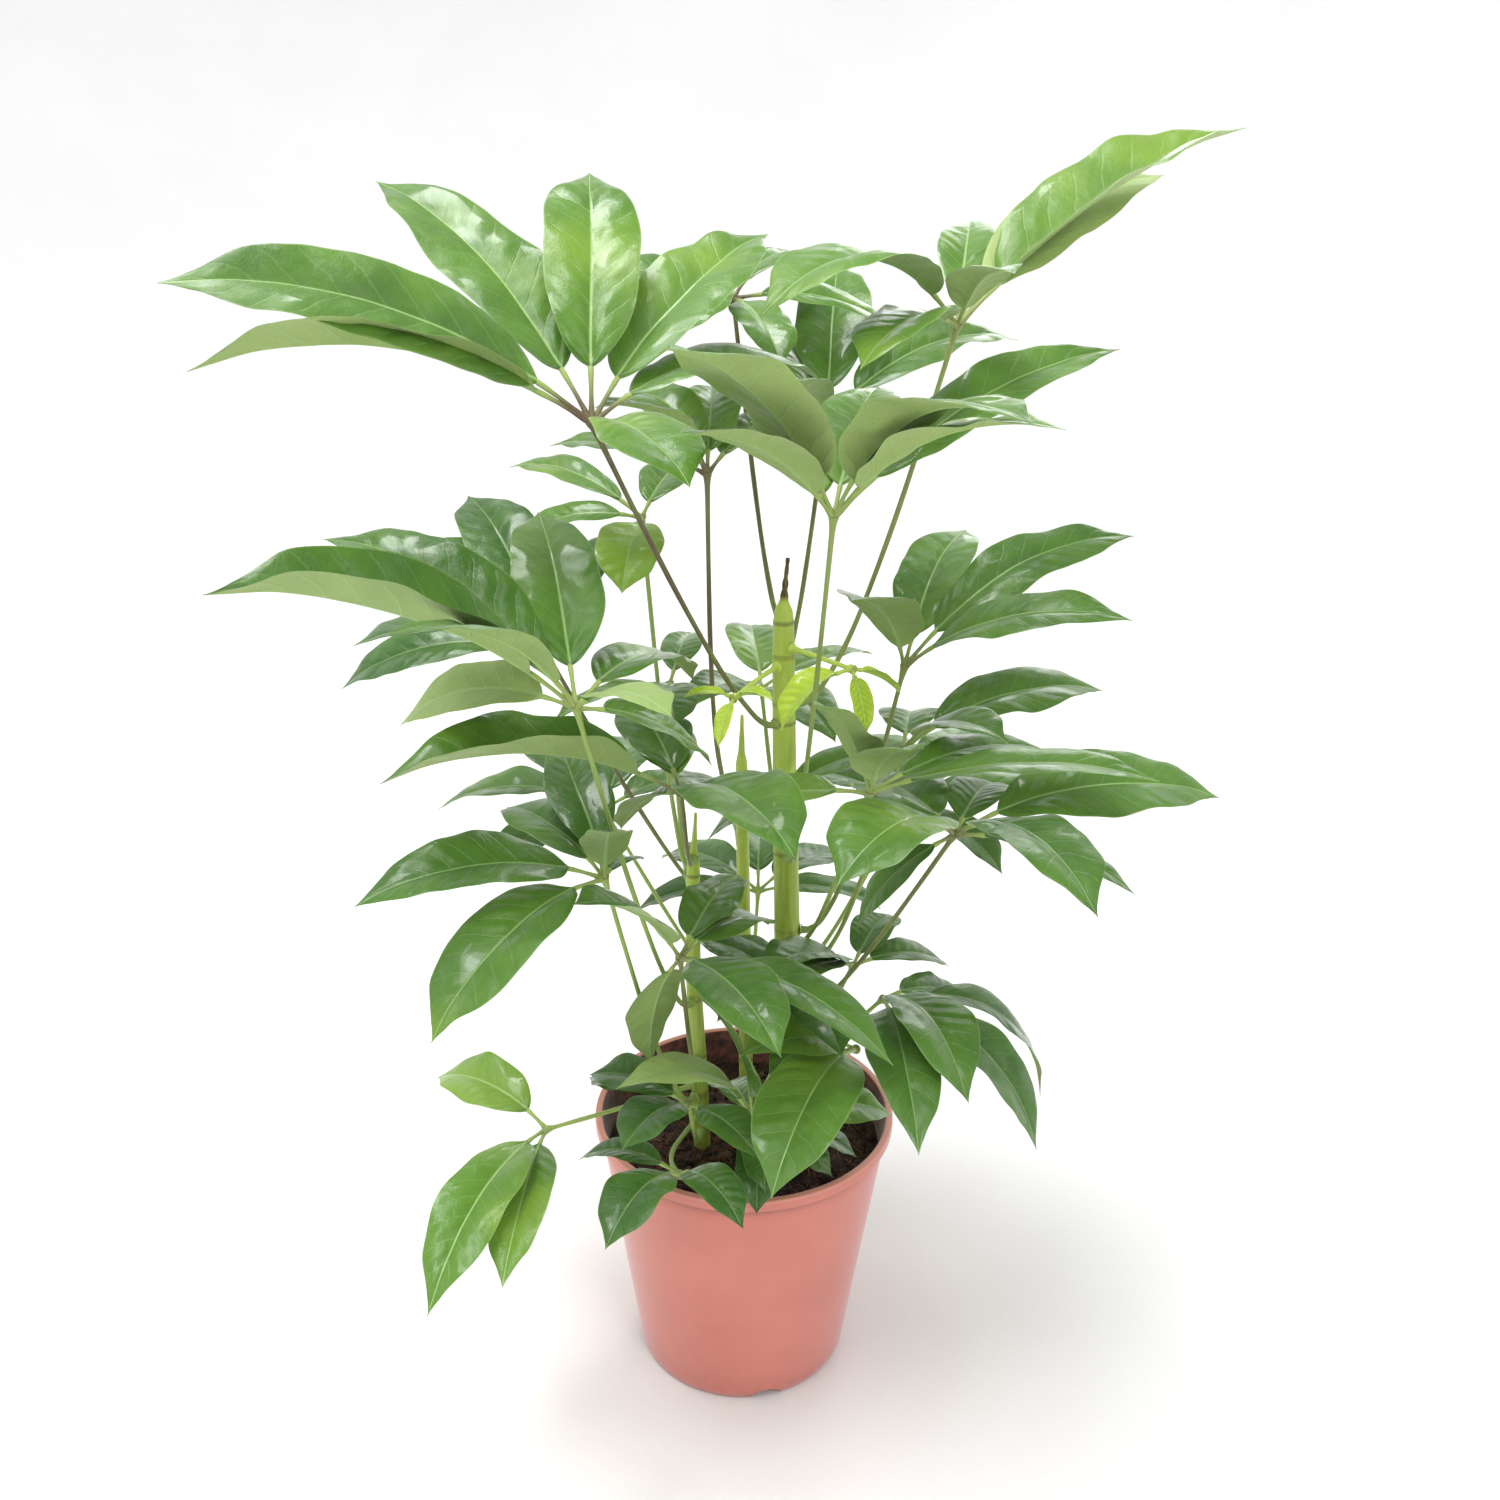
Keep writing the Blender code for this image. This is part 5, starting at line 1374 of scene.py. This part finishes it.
class PLANT_OT_make_leaves(bpy.types.Operator):
    """Make the grown leaves: petiole, hub and leaflets"""

    bl_idname = "umbrella_plant.make_leaves"
    bl_label = "Make leaves"

    def execute(self, context):
        look = context.scene.plant_leaf
        materials = leaf_materials("leaf", look)
        for name, leaf in LEAVES.items():
            tone, brown = TONES.get(name, tone_of(leaf)), BROWN_PETIOLES.get(name, PLAIN_PETIOLE)
            grids = leaf_grids(name, leaf[2], look, tone, brown)
            new_piece(f"{name}_blades", grids, materials, name)
        return {"FINISHED"}


class PLANT_OT_make_young_leaves(bpy.types.Operator):
    """Make the bright young growth near the top of the main stem"""

    bl_idname = "umbrella_plant.make_young_leaves"
    bl_label = "Make young leaves"

    def execute(self, context):
        look = context.scene.plant_young
        materials = leaf_materials("young", look)
        for name, leaf in YOUNG_LEAVES.items():
            grids = leaf_grids(name, leaf[2], look, YOUNG_TONE, 0.0, YOUNG_FOLD)
            new_piece(f"{name}_blades", grids, materials, name)
        return {"FINISHED"}


def stage_floor(look):
    """A round floor that curves up into a low wall: FLOOR_RISE (r - FLOOR_FLAT)^2 high past FLOOR_FLAT."""
    flat, curved = np.linspace(0.4, FLOOR_FLAT, 8), np.linspace(FLOOR_FLAT + 0.2, 6.0, 22)
    radius = np.concatenate([[0.01], flat, curved])[:, None]
    points = around(radius, FLOOR_RISE * np.clip(radius - FLOOR_FLAT, 0, None) ** 2, headings(96))
    index = np.arange(points.size // 3).reshape(points.shape[:2])
    after = np.roll(index, -1, axis=1)
    quads = np.stack([index[:-1], index[1:], after[1:], after[:-1]], axis=-1).reshape(-1, 4)
    mesh = bpy.data.meshes.new("studio_floor")
    mesh.from_pydata(points.reshape(-1, 3).tolist(), [], [*quads.tolist(), index[0].tolist()])
    mesh.materials.append(floor_material(look))
    mesh.shade_smooth()
    floor = linked("studio_floor", mesh)


def add_light(name, place, size, power):
    """A soft rectangular light that points at the middle of the plant."""
    light = bpy.data.lights.new(name, "AREA")
    light.shape, light.size, light.size_y, light.energy = "RECTANGLE", *size, power
    lamp = linked(name, light)
    x, y, z = np.array(place) - PLANT_MIDDLE
    lamp.location = place
    lamp.rotation_euler = (math.atan2(math.hypot(x, y), z), 0, math.atan2(x, -y))


def add_even_light(look):
    """White light from all round, of which glossy surfaces mirror a share, and a wide soft sun from above."""
    scene = bpy.context.scene
    world = bpy.data.worlds.new("studio")
    world.use_nodes = True
    background = world.node_tree.nodes["Background"]
    background.inputs["Color"].default_value = (1, 1, 1, 1)
    net = Net(world.node_tree)
    share = net.rise(net.node("LightPath").outputs["Is Glossy Ray"], 0, 1, 1.0, look.mirrored)
    net.feed(background.inputs["Strength"], net.times(share, look.ambient))
    scene.world = world
    scene.view_settings.view_transform = "Standard"
    sun = bpy.data.lights.new("even_light", "SUN")
    sun.energy, sun.angle = look.sky, math.radians(EVEN_LIGHT_WIDTH)
    linked("even_light", sun).rotation_euler = np.radians(EVEN_LIGHT_TURN)


class PLANT_OT_make_stage(bpy.types.Operator):
    """Make the camera, the pale floor and the soft lights"""

    bl_idname = "umbrella_plant.make_stage"
    bl_label = "Make stage"

    def execute(self, context):
        look = context.scene.plant_stage
        lens = bpy.data.cameras.new("camera")
        lens.lens, lens.sensor_width = CAMERA_LENS, FILM_WIDTH
        camera = linked("camera", lens)
        heading, tilt, lean = (Matrix.Rotation(math.radians(turn), 4, axis) for turn, axis in CAMERA_TURNS)
        camera.matrix_world = Matrix.Translation(CAMERA_PLACE) @ heading @ tilt @ lean
        context.scene.camera = camera
        stage_floor(look)
        add_even_light(look)
        add_light("overhead_light", (-0.75, 0.55, 3.2), (1.3, 0.8), look.overhead)
        add_light("left_light", (-0.7, -1.2, 2.9), (0.8, 0.5), look.left)
        add_light("front_light", (0.9, -1.9, 2.1), (0.9, 0.7), look.front)
        add_light("back_light", (0.7, 1.9, 1.5), (1.0, 0.8), look.back)
        return {"FINISHED"}


OPERATORS = (
    PLANT_OT_make_stage, PLANT_OT_make_pot, PLANT_OT_make_soil, PLANT_OT_make_stems, PLANT_OT_make_leaves,
    PLANT_OT_make_young_leaves,
)
SETTINGS = {
    "plant_pot": PotSettings, "plant_soil": SoilSettings, "plant_stem": StemSettings,
    "plant_leaf": LeafSettings, "plant_young": YoungLeafSettings, "plant_stage": StageSettings,
}


class PLANT_PT_panel(bpy.types.Panel):
    """Lists the plant's operators and the sizes and colours that they use"""

    bl_label = "Umbrella plant"
    bl_idname = "PLANT_PT_panel"
    bl_space_type = "VIEW_3D"
    bl_region_type = "UI"
    bl_category = "Plant"

    def draw(self, context):
        for operator in OPERATORS:
            self.layout.operator(operator.bl_idname)
        for key, settings in SETTINGS.items():
            box = self.layout.box()
            box.label(text=settings.__name__.replace("Settings", ""))
            for name in settings.__annotations__:
                box.prop(getattr(context.scene, key), name)


def register():
    """Add the settings, the operators and the panel."""
    for made in (*SETTINGS.values(), *OPERATORS, PLANT_PT_panel):
        bpy.utils.register_class(made)
    for key, settings in SETTINGS.items():
        setattr(bpy.types.Scene, key, bpy.props.PointerProperty(type=settings))


def unregister():
    """Take the settings, the operators and the panel away again."""
    for key in SETTINGS:
        delattr(bpy.types.Scene, key)
    for made in (PLANT_PT_panel, *reversed(OPERATORS), *reversed(SETTINGS.values())):
        bpy.utils.unregister_class(made)


def main():
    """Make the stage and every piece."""
    register()
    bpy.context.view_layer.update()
    for obj in [o for o in bpy.data.objects if o.name in ("Cube", "Light", "Camera")]:
        bpy.data.objects.remove(obj, do_unlink=True)
    bpy.ops.umbrella_plant.make_stage()
    bpy.ops.umbrella_plant.make_pot()
    bpy.ops.umbrella_plant.make_soil()
    bpy.ops.umbrella_plant.make_stems()
    bpy.ops.umbrella_plant.make_leaves()
    bpy.ops.umbrella_plant.make_young_leaves()


if __name__ == "__main__":
    main()
